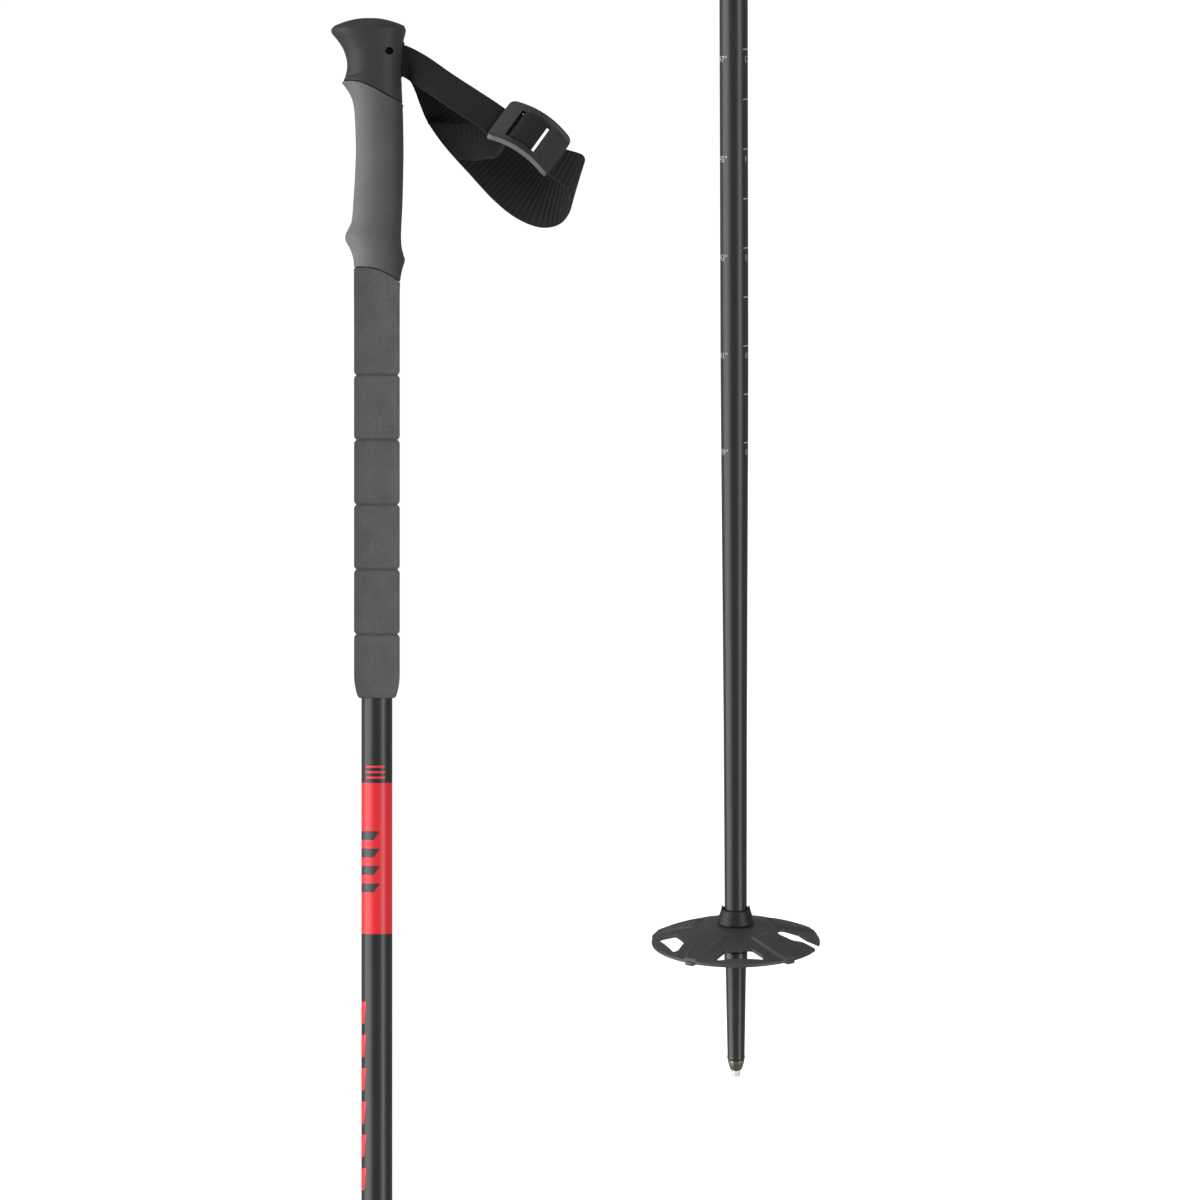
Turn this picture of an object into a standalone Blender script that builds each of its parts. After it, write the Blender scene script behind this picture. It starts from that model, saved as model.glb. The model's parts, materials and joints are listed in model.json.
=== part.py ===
"""A two-section telescoping ski pole, upright on its tip.

Metres, +Z up. The origin is the flat end of the tip, the shafts run along +Z, the grip's finger side
faces -X and the wrist strap leaves the grip on +X. The clamp's scale reads 125 at rest.
"""

import math

import bmesh
import bpy
from mathutils import Matrix, Vector

MM = 0.001
GAP = 0.3 * MM

# Driving dimensions.
POLE_LENGTH = 1250 * MM
UPPER_RADIUS = 8.0 * MM
UPPER_BORE = 7.3 * MM
LOWER_RADIUS = 7.0 * MM
LOWER_WALL = 0.75 * MM
CLAMP_BOTTOM = 592 * MM
LOWER_TOP = 830 * MM
SHAFT_DEPTH_IN_GRIP = 33.0 * MM
SHAFT_END = 70 * MM
ROUND = 32

# Grip, in millimetres: depth below the top, front edge, rear edge, half width, top to bottom.
GRIP_STATIONS = (
    (5.2, -23.3, 14.8, 17.2),
    (6.4, -23.7, 15.0, 17.5),
    (7.8, -23.2, 14.7, 17.2),
    (11.6, -20.1, 13.8, 15.9),
    (15.8, -17.5, 13.2, 14.8),
    (20.0, -16.0, 12.9, 14.2),
    (24.0, -15.4, 12.6, 13.9),
    (28.2, -15.9, 12.5, 13.9),
    (32.0, -17.4, 12.7, 14.3),
    (33.6, -17.6, 12.9, 14.5),
    (35.6, -16.3, 12.9, 14.5),
    (38.5, -14.4, 13.0, 14.4),
    (42.7, -12.6, 13.2, 14.0),
    (49.0, -11.6, 13.5, 13.8),
    (67.5, -10.9, 13.8, 14.0),
    (82.0, -11.4, 13.6, 14.0),
    (94.4, -12.2, 13.3, 13.7),
    (104.7, -13.1, 12.8, 13.6),
    (108.8, -14.8, 12.6, 14.1),
    (112.4, -16.5, 12.5, 14.9),
    (115.2, -16.0, 12.6, 15.3),
    (119.2, -13.8, 13.0, 15.0),
    (124.4, -12.2, 14.5, 14.4),
    (129.5, -11.9, 13.2, 13.0),
    (134.0, -11.9, 12.3, 12.2),
    (140.0, -11.9, 11.9, 11.9),
)
DOME_HEIGHT = 4.2
DOME_RINGS = (0.3, 0.6, 0.8, 0.93)
GRIP_SIDES = 32
SECTION_POWER = 2.35

# Slanted edges between the grip's pieces, in millimetres: depth at the front, knee, slope, softness.
CORE_EDGE = (32.5, -9.0, 0.53, 2.5)
RUBBER_EDGE = (128.9, 0.5, 0.62, 3.0)
SPIGOT_RADIUS = 9.4 * MM
SPIGOT_DEPTH = 100 * MM

FOAM_RADIUS = 11.85 * MM
FOAM_BOTTOM_DEPTH = 351.3
FOAM_GROOVES = 5
FOAM_FIRST_GROOVE = 184.3
FOAM_GROOVE_PITCH = 33.5

# Strap slot and pin in the grip's head.
SLOT_TOP = 12.8
SLOT_HEIGHT = 16.9
SLOT_FRONT = 3.5
PIN_X = 6.7
PIN_DEPTH = 17.5
PIN_RADIUS = 1.7
STRAP_WIDTH = 20.5
STRAP_THICK = 1.3
STRAP_HINGE_X = 15.6

# Length clamp, in millimetres from the pole's axis, with its bolt on this height.
BOLT_HEIGHT = 608 * MM
BOLT_X = 15.3
BOLT_RADIUS = 1.6
EAR_FACE = 6.4
SPLIT = 3.0
CAM_Y = -11.7
CAM_RADIUS = 3.9
LEVER_INNER = 12.6
LEVER_OUTER = 15.3

# Basket, in millimetres.
BASKET_RADIUS = 43.5
RIM_HEIGHT = 74.5
DOME_RISE = 9.0
DISC_THICK = 1.7
BASKET_SECTORS = 5
FIRST_WINDOW_DEG = 3.5
SLOT_SECTOR = 1


def clear_scene():
    for obj in list(bpy.data.objects):
        bpy.data.objects.remove(obj)


def make_material(name, colour, roughness, metallic=0.0):
    material = bpy.data.materials.new(name)
    material.use_nodes = True
    shader = material.node_tree.nodes["Principled BSDF"]
    shader.inputs["Base Color"].default_value = (*colour, 1.0)
    shader.inputs["Roughness"].default_value = roughness
    shader.inputs["Metallic"].default_value = metallic
    return material


class Group:
    """A rigid body: an empty on its joint, which its pieces are parented to."""

    def __init__(self, name, pivot=(0, 0, 0)):
        self.pivot = Vector(pivot)
        self.empty = bpy.data.objects.new(name + "_pivot", None)
        self.empty.location = self.pivot
        bpy.context.collection.objects.link(self.empty)


def add_piece(name, mesh, material, group):
    """Link a mesh made in world coordinates as one piece of a body, with its origin on the body's joint."""
    mesh.transform(Matrix.Translation(-group.pivot))
    obj = bpy.data.objects.new(name, mesh)
    obj.parent = group.empty
    obj.data.materials.append(material)
    obj.data.shade_smooth()
    obj.data.set_sharp_from_angle(angle=math.radians(35))
    bpy.context.collection.objects.link(obj)
    return obj


def combine(obj, mesh, operation):
    """Add a Boolean with a hidden helper mesh made in world coordinates."""
    helper = bpy.data.objects.new(obj.name + "_cutter", mesh)
    helper.hide_render = True
    helper.display_type = "WIRE"
    bpy.context.collection.objects.link(helper)
    modifier = obj.modifiers.new(operation.lower(), "BOOLEAN")
    modifier.operation = operation
    modifier.solver = "EXACT"
    modifier.object = helper


def mesh_from(points, faces):
    """A mesh whose normals point out."""
    mesh = bpy.data.meshes.new("shape")
    mesh.from_pydata([tuple(p) for p in points], [], faces)
    work = bmesh.new()
    work.from_mesh(mesh)
    bmesh.ops.recalc_face_normals(work, faces=work.faces)
    work.to_mesh(mesh)
    work.free()
    return mesh


def loft(rings, closed=False):
    """Skin rings of equally many points, joined end to end when closed and capped when not."""
    count = len(rings[0])
    points = [p for ring in rings for p in ring]
    faces = []
    last = len(rings) if closed else len(rings) - 1
    for r in range(last):
        here = r * count
        there = ((r + 1) % len(rings)) * count
        for i in range(count):
            j = (i + 1) % count
            faces.append((here + i, here + j, there + j, there + i))
    if not closed:
        faces.append(tuple(range(count)))
        faces.append(tuple(range(len(points) - count, len(points))))
    return mesh_from(points, faces)


def circle(radius, centre=(0, 0, 0), axis="Z", sides=ROUND):
    """A ring of points about an axis through centre."""
    ring = []
    for i in range(sides):
        turn = 2 * math.pi * i / sides
        u = radius * math.cos(turn)
        v = radius * math.sin(turn)
        offset = (u, v, 0) if axis == "Z" else (u, 0, v)
        ring.append(Vector(centre) + Vector(offset))
    return ring


def turned(profile, axis="Z", centre=(0, 0, 0), sides=ROUND, hollow=False):
    """Turn (radius, place along the axis) points. A hollow profile is a closed outline."""
    step = Vector((0, 0, 1)) if axis == "Z" else Vector((0, 1, 0))
    rings = [circle(r, Vector(centre) + step * place, axis, sides) for r, place in profile]
    return loft(rings, closed=hollow)


def tube(outer, inner, low, high, sides=ROUND):
    return turned([(outer, low), (outer, high), (inner, high), (inner, low)], sides=sides, hollow=True)


def rod(radius, low, high, axis="Z", centre=(0, 0, 0), sides=ROUND):
    return turned([(radius, low), (radius, high)], axis, centre, sides)


def block(low, high):
    """An axis-aligned box between two corners."""
    (x0, y0, z0), (x1, y1, z1) = low, high
    rings = [[(x0, y0, z), (x1, y0, z), (x1, y1, z), (x0, y1, z)] for z in (z0, z1)]
    return loft(rings)


def prism(outline, low, high, axis="Z"):
    """Extrude a 2D outline along Z, or along Y with the outline in XZ."""
    if axis == "Z":
        return loft([[(u, v, place) for u, v in outline] for place in (low, high)])
    return loft([[(u, place, v) for u, v in outline] for place in (low, high)])


# ---------------------------------------------------------------- grip


def from_top(depth_mm):
    return POLE_LENGTH - depth_mm * MM


def grip_ring(depth, front, rear, half_width):
    """An oval ring, squarer than an ellipse, at this depth below the grip's top; all in millimetres."""
    centre = (front + rear) / 2
    half_length = (rear - front) / 2
    ring = []
    for i in range(GRIP_SIDES):
        turn = 2 * math.pi * i / GRIP_SIDES
        c = math.cos(turn)
        s = math.sin(turn)
        x = centre + half_length * math.copysign(abs(c) ** (2 / SECTION_POWER), c)
        y = half_width * math.copysign(abs(s) ** (2 / SECTION_POWER), s)
        ring.append((x * MM, y * MM, from_top(depth)))
    return ring


def grip_body():
    """The handle's whole outside, from its domed top to the foam."""
    _, front, rear, half_width = GRIP_STATIONS[0]
    centre = (front + rear) / 2
    rings = []
    for share in DOME_RINGS:
        reach = (rear - front) / 2 * share
        depth = DOME_HEIGHT * (share**2 - DOME_RINGS[0] ** 2)
        rings.append(grip_ring(depth, centre - reach, centre + reach, half_width * share))
    rings += [grip_ring(*station) for station in GRIP_STATIONS]
    return loft(rings)


def slanted_edge(x, edge):
    """Depth of a slanted edge at x: level at the front, then sloping down past its knee; in millimetres."""
    start, knee, slope, softness = edge
    return start + slope * softness * math.log1p(math.exp((x - knee) / softness))


def edge_band(upper, lower):
    """A block between two slanted edges, or from a level depth down to an edge; in millimetres."""
    xs = [-30 + 2.5 * i for i in range(25)]

    def line(edge, shift):
        depths = [slanted_edge(x, edge) if isinstance(edge, tuple) else edge for x in xs]
        return [(x * MM, from_top(depth + shift)) for x, depth in zip(xs, depths)]

    return prism(line(upper, 0.3) + line(lower, 0.0)[::-1], -30 * MM, 30 * MM, "Y")


def make_grip(group, hard, soft, foam):
    core = add_piece("grip_core", grip_body(), hard, group)
    combine(core, edge_band(-10.0, CORE_EDGE), "INTERSECT")
    combine(core, rod(SPIGOT_RADIUS, POLE_LENGTH - SPIGOT_DEPTH, from_top(31.0)), "UNION")
    bore = UPPER_RADIUS + GAP
    combine(core, rod(bore, POLE_LENGTH - SPIGOT_DEPTH - 0.01, from_top(32.7)), "DIFFERENCE")
    half = (2 * STRAP_THICK + 0.8) / 2 * MM
    slot = block(
        (SLOT_FRONT * MM, -half, from_top(SLOT_TOP + SLOT_HEIGHT)),
        (30 * MM, half, from_top(SLOT_TOP)),
    )
    combine(core, slot, "DIFFERENCE")
    pin_centre = (PIN_X * MM, 0, from_top(PIN_DEPTH))
    combine(core, rod((PIN_RADIUS + 0.3) * MM, -20 * MM, 20 * MM, "Y", pin_centre, 20), "DIFFERENCE")

    rubber = add_piece("grip_rubber", grip_body(), soft, group)
    combine(rubber, edge_band(CORE_EDGE, RUBBER_EDGE), "INTERSECT")
    hole = turned(
        [
            (UPPER_RADIUS + GAP, from_top(150)),
            (UPPER_RADIUS + GAP, POLE_LENGTH - SPIGOT_DEPTH - GAP),
            (SPIGOT_RADIUS + GAP, POLE_LENGTH - SPIGOT_DEPTH - GAP),
            (SPIGOT_RADIUS + GAP, from_top(20)),
        ]
    )
    combine(rubber, hole, "DIFFERENCE")

    sleeve = add_piece("foam_sleeve", foam_profile(), foam, group)
    combine(sleeve, edge_band(RUBBER_EDGE, 400.0), "INTERSECT")


def foam_profile():
    """The foam extension with its turned V-grooves and rounded lower end."""
    radius = FOAM_RADIUS
    bottom = FOAM_BOTTOM_DEPTH
    outline = [(radius, from_top(126))]
    for i in range(FOAM_GROOVES):
        depth = FOAM_FIRST_GROOVE + i * FOAM_GROOVE_PITCH
        outline += [
            (radius, from_top(depth - 1.1)),
            (radius - 1.2 * MM, from_top(depth)),
            (radius, from_top(depth + 1.1)),
        ]
    outline += [
        (radius, from_top(bottom - 10)),
        (radius - 0.6 * MM, from_top(bottom - 6)),
        (radius - 1.9 * MM, from_top(bottom - 1)),
        (radius - 2.6 * MM, from_top(bottom)),
        (UPPER_RADIUS + GAP, from_top(bottom)),
        (UPPER_RADIUS + GAP, from_top(126)),
    ]
    return turned(outline[::-1], hollow=True)


def make_strap_anchor(group, webbing, steel):
    """The strap's doubled end in the slot, and the pin through it."""
    half = (STRAP_THICK + 0.05) * MM
    low = (SLOT_FRONT * MM + GAP, -half, from_top(SLOT_TOP + SLOT_HEIGHT) + GAP)
    high = ((STRAP_HINGE_X - 0.3) * MM, half, from_top(SLOT_TOP) - GAP)
    end = add_piece("strap_end", block(low, high), webbing, group)
    centre = (PIN_X * MM, 0, from_top(PIN_DEPTH))
    combine(end, rod((PIN_RADIUS + 0.3) * MM, -10 * MM, 10 * MM, "Y", centre, 20), "DIFFERENCE")
    reach = 8.8 * MM
    chamfer = 0.3 * MM
    outline = [
        ((PIN_RADIUS - 0.3) * MM, -reach),
        (PIN_RADIUS * MM, -reach + chamfer),
        (PIN_RADIUS * MM, reach - chamfer),
        ((PIN_RADIUS - 0.3) * MM, reach),
    ]
    add_piece("strap_pin", turned(outline, "Y", centre, 20), steel, group)


# ---------------------------------------------------------------- strap

# Route of the webbing in millimetres: x, y (away from the front), depth below the grip's top, and the
# direction of its width, whose length is the share of the full width there. The webbing gathers where it
# leaves the slot, where its width is upright and the band is cut on the skew.
FRONT_ROUTE = (
    (17.2, -1.3, 23.6, (0.0, 0.0, 0.86)),
    (24.0, -4.6, 27.9, (0.21, 0.40, 0.80)),
    (35.0, -9.2, 35.6, (0.38, 0.62, 0.66)),
    (48.0, -11.6, 44.3, (0.43, 0.64, 0.64)),
    (56.6, -12.2, 49.9, (0.43, 0.64, 0.64)),
)
LOOP_ROUTE = (
    (17.2, 1.3, 23.6, (0.0, 0.0, 0.86)),
    (21.8, 3.6, 28.6, (0.16, 0.24, 0.92)),
    (27.0, 6.6, 35.0, (0.47, 0.16, 0.88)),
    (34.9, 10.6, 46.4, (0.86, 0.10, 0.65)),
    (43.8, 13.8, 57.9, (0.88, 0.09, 0.73)),
    (55.7, 16.4, 70.1, (0.87, 0.09, 0.84)),
    (69.9, 16.9, 83.0, (0.94, 0.14, 1.0)),
    (80.2, 14.6, 90.3, (0.77, 0.2, 1.22)),
    (88.8, 10.5, 93.6, (0.38, 0.27, 1.38)),
    (97.2, 4.7, 92.5, (0.22, 0.26, 1.29)),
    (103.1, -2.6, 86.4, (0.31, 0.33, 1.12)),
    (102.2, -9.0, 79.6, (0.38, 0.52, 0.88)),
)
BUCKLE_CENTRE = Vector((79.3, -17.3, -62.0))
BUCKLE_ALONG = Vector((0.83, 0.0, -0.558)).normalized()
BUCKLE_TILT = math.radians(40)
BUCKLE_LENGTH = 37.5
BUCKLE_WIDTH = 30.0
BUCKLE_THICK = 2.6
BUCKLE_ARCH = 5.4
BUCKLE_STEPS = 18
# Windows across the buckle: start and end along it, from its grip end.
BUCKLE_WINDOWS = ((7.9, 12.7), (21.4, 24.9))
WINDOW_WIDTH = 21.1
# The front band's way round the buckle's bar and back as the tail, and the loop band's end under the
# far plate: along the buckle, height over its curved middle surface, and share of the full width.
FRONT_THREAD = (
    (2.0, -3.2, 1.08),
    (6.5, -2.6, 1.16),
    (9.2, -2.0, 1.0),
    (10.3, 0.0, 1.0),
    (11.6, 2.0, 1.0),
    (13.8, 2.5, 1.0),
    (17.0, 2.5, 1.0),
    (20.0, 2.5, 1.0),
    (22.0, 1.8, 1.0),
    (22.8, 0.0, 1.0),
    (22.0, -2.1, 1.0),
    (19.5, -2.9, 1.0),
    (15.0, -3.6, 1.0),
    (11.5, -4.8, 1.0),
)
LOOP_THREAD = ((35.0, -3.4, 1.0), (28.4, -2.6, 1.0))
TAIL_ROUTE = (
    (64.0, -12.0, 62.0, (0.30, 0.52, 0.80)),
    (57.0, -8.2, 63.8, (0.08, 0.38, 0.92)),
    (50.0, -3.6, 64.0, (-0.15, 0.26, 0.95)),
    (44.5, 0.2, 63.8, (-0.35, 0.18, 0.93)),
    (39.0, 3.4, 63.3, (-0.55, 0.12, 0.93)),
    (33.8, 6.0, 62.7, (-0.75, 0.08, 0.94)),
)


def buckle_axes():
    """Unit vectors along the buckle, across it and out of its face."""
    flat_up = Vector((-BUCKLE_ALONG.z, 0, BUCKLE_ALONG.x))
    across = (flat_up * math.cos(BUCKLE_TILT) + Vector((0, 1, 0)) * math.sin(BUCKLE_TILT)).normalized()
    return BUCKLE_ALONG, across, BUCKLE_ALONG.cross(across)


def buckle_point(along, across, height):
    """A point of the arched buckle, in millimetres along from its grip end, across and over its middle."""
    axis_u, axis_w, axis_n = buckle_axes()
    place = along - BUCKLE_LENGTH / 2
    rise = BUCKLE_ARCH * (1 - (2 * place / BUCKLE_LENGTH) ** 2) - BUCKLE_ARCH / 2
    spot = BUCKLE_CENTRE + axis_u * place + axis_w * across + axis_n * (rise + height)
    return Vector((spot.x * MM, spot.y * MM, POLE_LENGTH + spot.z * MM))


def smooth_route(stops, per_span):
    """Catmull-Rom points and width directions through the stops."""
    stops = [(Vector(place), Vector(width)) for place, width in stops]
    padded = [stops[0]] + stops + [stops[-1]]
    route = []
    for i in range(1, len(padded) - 2):
        quad = padded[i - 1 : i + 3]
        for k in range(per_span):
            t = k / per_span
            weights = (
                -0.5 * t**3 + t**2 - 0.5 * t,
                1.5 * t**3 - 2.5 * t**2 + 1,
                -1.5 * t**3 + 2 * t**2 + 0.5 * t,
                0.5 * t**3 - 0.5 * t**2,
            )
            spot = Vector()
            width = Vector()
            for weight, (place, direction) in zip(weights, quad):
                spot += weight * place
                width += weight * direction
            route.append((spot, width))
    route.append(stops[-1])
    return route


def ribbon(route, width, thick):
    """A flat band along (point, width direction) pairs; a direction's length is the share of the width."""
    rings = []
    for i, (spot, across) in enumerate(route):
        before = route[max(i - 1, 0)][0]
        after = route[min(i + 1, len(route) - 1)][0]
        along = (after - before).normalized()
        normal = along.cross(across).normalized()
        half = across * width / 2
        lift = normal * thick / 2
        rings.append([spot - half - lift, spot + half - lift, spot + half + lift, spot - half + lift])
    return loft(rings)


def in_metres(route):
    return [(Vector((x * MM, y * MM, from_top(depth))), Vector(width)) for x, y, depth, width in route]


def make_strap(group, webbing, plastic):
    _, across, _ = buckle_axes()
    front = in_metres(FRONT_ROUTE)
    front += [(buckle_point(along, 0, height), across * share) for along, height, share in FRONT_THREAD]
    front += in_metres(TAIL_ROUTE)
    band = ribbon(smooth_route(front, 3), STRAP_WIDTH * MM, STRAP_THICK * MM)
    add_piece("strap_front_band", band, webbing, group)

    loop = in_metres(LOOP_ROUTE)
    loop += [(buckle_point(along, 0, height), across * share) for along, height, share in LOOP_THREAD]
    band = ribbon(smooth_route(loop, 3), STRAP_WIDTH * MM, STRAP_THICK * MM)
    add_piece("strap_loop_band", band, webbing, group)

    rings = []
    for i in range(BUCKLE_STEPS + 1):
        along = BUCKLE_LENGTH * i / BUCKLE_STEPS
        half = BUCKLE_WIDTH / 2
        corners = ((-half, -1), (half, -1), (half, 1), (-half, 1))
        rings.append([buckle_point(along, side, sign * BUCKLE_THICK / 2) for side, sign in corners])
    buckle = add_piece("strap_buckle", loft(rings), plastic, group)
    for start, end in BUCKLE_WINDOWS:
        half = WINDOW_WIDTH / 2
        rings = []
        for height in (-6, 6):
            corners = ((start, -half), (end, -half), (end, half), (start, half))
            rings.append([buckle_point(along, side, height) for along, side in corners])
        combine(buckle, loft(rings), "DIFFERENCE")


# ---------------------------------------------------------------- shafts


def make_upper_shaft(group, aluminium):
    low = CLAMP_BOTTOM + 8.3 * MM
    shaft = add_piece(
        "upper_shaft",
        tube(UPPER_RADIUS, UPPER_BORE, low, POLE_LENGTH - SHAFT_DEPTH_IN_GRIP),
        aluminium,
        group,
    )
    slit = block((4 * MM, -0.75 * MM, low - 0.01), (12 * MM, 0.75 * MM, low + 30 * MM))
    combine(shaft, slit, "DIFFERENCE")


def make_lower_section(group, aluminium, plastic):
    outside = (
        (5.66, SHAFT_END),
        (5.98, 190 * MM),
        (6.40, 268 * MM),
        (6.85, 345 * MM),
        (7.00, 388 * MM),
        (7.00, LOWER_TOP),
    )
    outline = [(radius * MM, height) for radius, height in outside]
    outline += [(radius * MM - LOWER_WALL, height) for radius, height in outside[::-1]]
    add_piece("lower_shaft", turned(outline, hollow=True), aluminium, group)

    spigot = LOWER_RADIUS - LOWER_WALL - GAP
    vent = 2.5 * MM
    guide = [
        (spigot, LOWER_TOP - 18 * MM),
        (spigot, LOWER_TOP + GAP),
        (LOWER_RADIUS, LOWER_TOP + GAP),
        (LOWER_RADIUS, LOWER_TOP + 7 * MM),
        (LOWER_RADIUS - 1 * MM, LOWER_TOP + 8 * MM),
        (vent, LOWER_TOP + 8 * MM),
        (vent, LOWER_TOP - 18 * MM),
    ]
    add_piece("inner_guide", turned(guide, hollow=True), plastic, group)


# ---------------------------------------------------------------- length clamp


def clamp_outline_lever():
    """Plan of the lever: a round cam on its pivot, an arm round the collar and a flared finger end."""
    outline = []
    for i in range(13):
        turn = math.radians(-90 + 270 * i / 12)
        outline.append((BOLT_X + CAM_RADIUS * math.cos(turn), CAM_Y + CAM_RADIUS * math.sin(turn)))
    start, end, steps = -68, -166, 12
    for i in range(steps + 1):
        turn = math.radians(start + (end - start) * i / steps)
        outline.append((LEVER_INNER * math.cos(turn), LEVER_INNER * math.sin(turn)))
    for radius, degrees in ((13.8, -172), (16.3, -173), (16.5, -167)):
        outline.append((radius * math.cos(math.radians(degrees)), radius * math.sin(math.radians(degrees))))
    for i in range(steps):
        turn = math.radians(end + 6 + (start - end - 6) * i / (steps - 1))
        outline.append((LEVER_OUTER * math.cos(turn), LEVER_OUTER * math.sin(turn)))
    return [(u * MM, v * MM) for u, v in outline]


def make_clamp(root, lever_group, wheel_group, plastic, lever_plastic, steel):
    bore = UPPER_RADIUS + GAP
    low = CLAMP_BOTTOM
    collar_profile = [
        (10.2 * MM, low),
        (12.2 * MM, low + 4 * MM),
        (12.2 * MM, low + 29 * MM),
        (9.6 * MM, low + 42 * MM),
        (bore, low + 42 * MM),
        (bore, low + 8 * MM),
        (UPPER_BORE, low + 8 * MM),
        (UPPER_BORE, low),
    ]
    collar = add_piece("clamp_collar", turned(collar_profile, hollow=True), plastic, root)
    ear_half_height = 10 * MM
    ears = rounded_ears(ear_half_height)
    combine(collar, ears, "UNION")
    combine(collar, rod(bore, low + 8 * MM, low + 60 * MM), "DIFFERENCE")
    half_split = SPLIT / 2 * MM
    split = block((3 * MM, -half_split, low - 0.01), (30 * MM, half_split, low + 0.06))
    combine(collar, split, "DIFFERENCE")
    bolt_centre = (BOLT_X * MM, 0, BOLT_HEIGHT)
    bolt_hole = (BOLT_RADIUS + 0.3) * MM
    combine(collar, rod(bolt_hole, -12 * MM, 12 * MM, "Y", bolt_centre, 20), "DIFFERENCE")

    plate_low = EAR_FACE + 0.3
    plate = block(
        (11.6 * MM, -(plate_low + 0.8) * MM, BOLT_HEIGHT - 8.5 * MM),
        (19.0 * MM, -plate_low * MM, BOLT_HEIGHT + 8.5 * MM),
    )
    plate = add_piece("cam_plate", plate, steel, root)
    combine(plate, rod(bolt_hole, -12 * MM, 12 * MM, "Y", bolt_centre, 20), "DIFFERENCE")

    barrel_radius = 2.1 * MM
    barrel_centre = (BOLT_X * MM, CAM_Y * MM, BOLT_HEIGHT)
    barrel = rod(barrel_radius, -8.8 * MM, 8.8 * MM, "Z", barrel_centre, 24)
    barrel = add_piece("lever_barrel", barrel, steel, root)
    neck = 1.0 * MM
    combine(barrel, rod(neck + GAP, -20 * MM, 0, "Y", bolt_centre, 20), "DIFFERENCE")

    bolt_outline = [
        (neck, (CAM_Y - 2.4) * MM),
        (neck, (CAM_Y + 2.6) * MM),
        (BOLT_RADIUS * MM, (CAM_Y + 3.0) * MM),
        (BOLT_RADIUS * MM, 11.4 * MM),
        ((BOLT_RADIUS - 0.4) * MM, 11.8 * MM),
    ]
    add_piece("tension_bolt", turned(bolt_outline, "Y", bolt_centre, 20), steel, root)

    lever = prism(clamp_outline_lever(), BOLT_HEIGHT - 9.2 * MM, BOLT_HEIGHT + 9.2 * MM)
    lever = add_piece("clamp_lever", lever, lever_plastic, lever_group)
    barrel_hole = rod(barrel_radius + GAP, -12 * MM, 12 * MM, "Z", barrel_centre, 24)
    combine(lever, barrel_hole, "DIFFERENCE")
    notch = block((10.6 * MM, -20 * MM, BOLT_HEIGHT - 2.4 * MM), (25 * MM, -5 * MM, BOLT_HEIGHT + 2.4 * MM))
    combine(lever, notch, "DIFFERENCE")

    flutes = 12
    sides = 4 * flutes
    wheel_rings = []
    for scale, place in ((0.9, 6.7), (1.0, 7.2), (1.0, 10.2), (0.9, 10.7)):
        ring = []
        for i in range(sides):
            turn = 2 * math.pi * i / sides
            radius = (4.4 + 0.28 * math.cos(flutes * turn)) * scale * MM
            ring.append(
                (BOLT_X * MM + radius * math.cos(turn), place * MM, BOLT_HEIGHT + radius * math.sin(turn))
            )
        wheel_rings.append(ring)
    wheel = add_piece("adjuster_wheel", loft(wheel_rings), lever_plastic, wheel_group)
    combine(wheel, rod(bolt_hole, 0, 20 * MM, "Y", bolt_centre, 20), "DIFFERENCE")


def rounded_ears(half_height):
    """The collar's two ears as one block, before the split parts them."""
    outline = [
        (8.0, -half_height / MM),
        (17.2, -half_height / MM),
        (19.3, -half_height / MM + 3),
        (19.3, half_height / MM - 3),
        (17.2, half_height / MM),
        (8.0, half_height / MM),
    ]
    outline = [(u * MM, BOLT_HEIGHT + v * MM) for u, v in outline]
    return prism(outline, -EAR_FACE * MM, EAR_FACE * MM, "Y")


# ---------------------------------------------------------------- basket and tip


def dome(radius):
    """Height of the disc's middle surface over the ground at this radius; in millimetres."""
    inner = 8.0
    share = max(radius - inner, 0) / (BASKET_RADIUS - inner)
    return RIM_HEIGHT + DOME_RISE * (1 - share**1.7)


def disc_shell(inner, outer, below, above, rings=7):
    """A domed ring of the disc, between two heights from its middle surface; in millimetres."""
    radii = [inner + (outer - inner) * i / rings for i in range(rings + 1)]
    outline = [(r * MM, (dome(r) - below) * MM) for r in radii]
    outline += [(r * MM, (dome(r) + above) * MM) for r in radii[::-1]]
    return turned(outline, sides=50, hollow=True)


def sector_outline(centre_deg, stops):
    """A plan outline about a radial line: (radius, half angle in degrees) stops, outwards."""

    def spot(radius, degrees):
        turn = math.radians(-90 + centre_deg + degrees)
        return (radius * math.cos(turn) * MM, radius * math.sin(turn) * MM)

    return [spot(r, half) for r, half in stops] + [spot(r, -half) for r, half in stops[::-1]]


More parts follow.
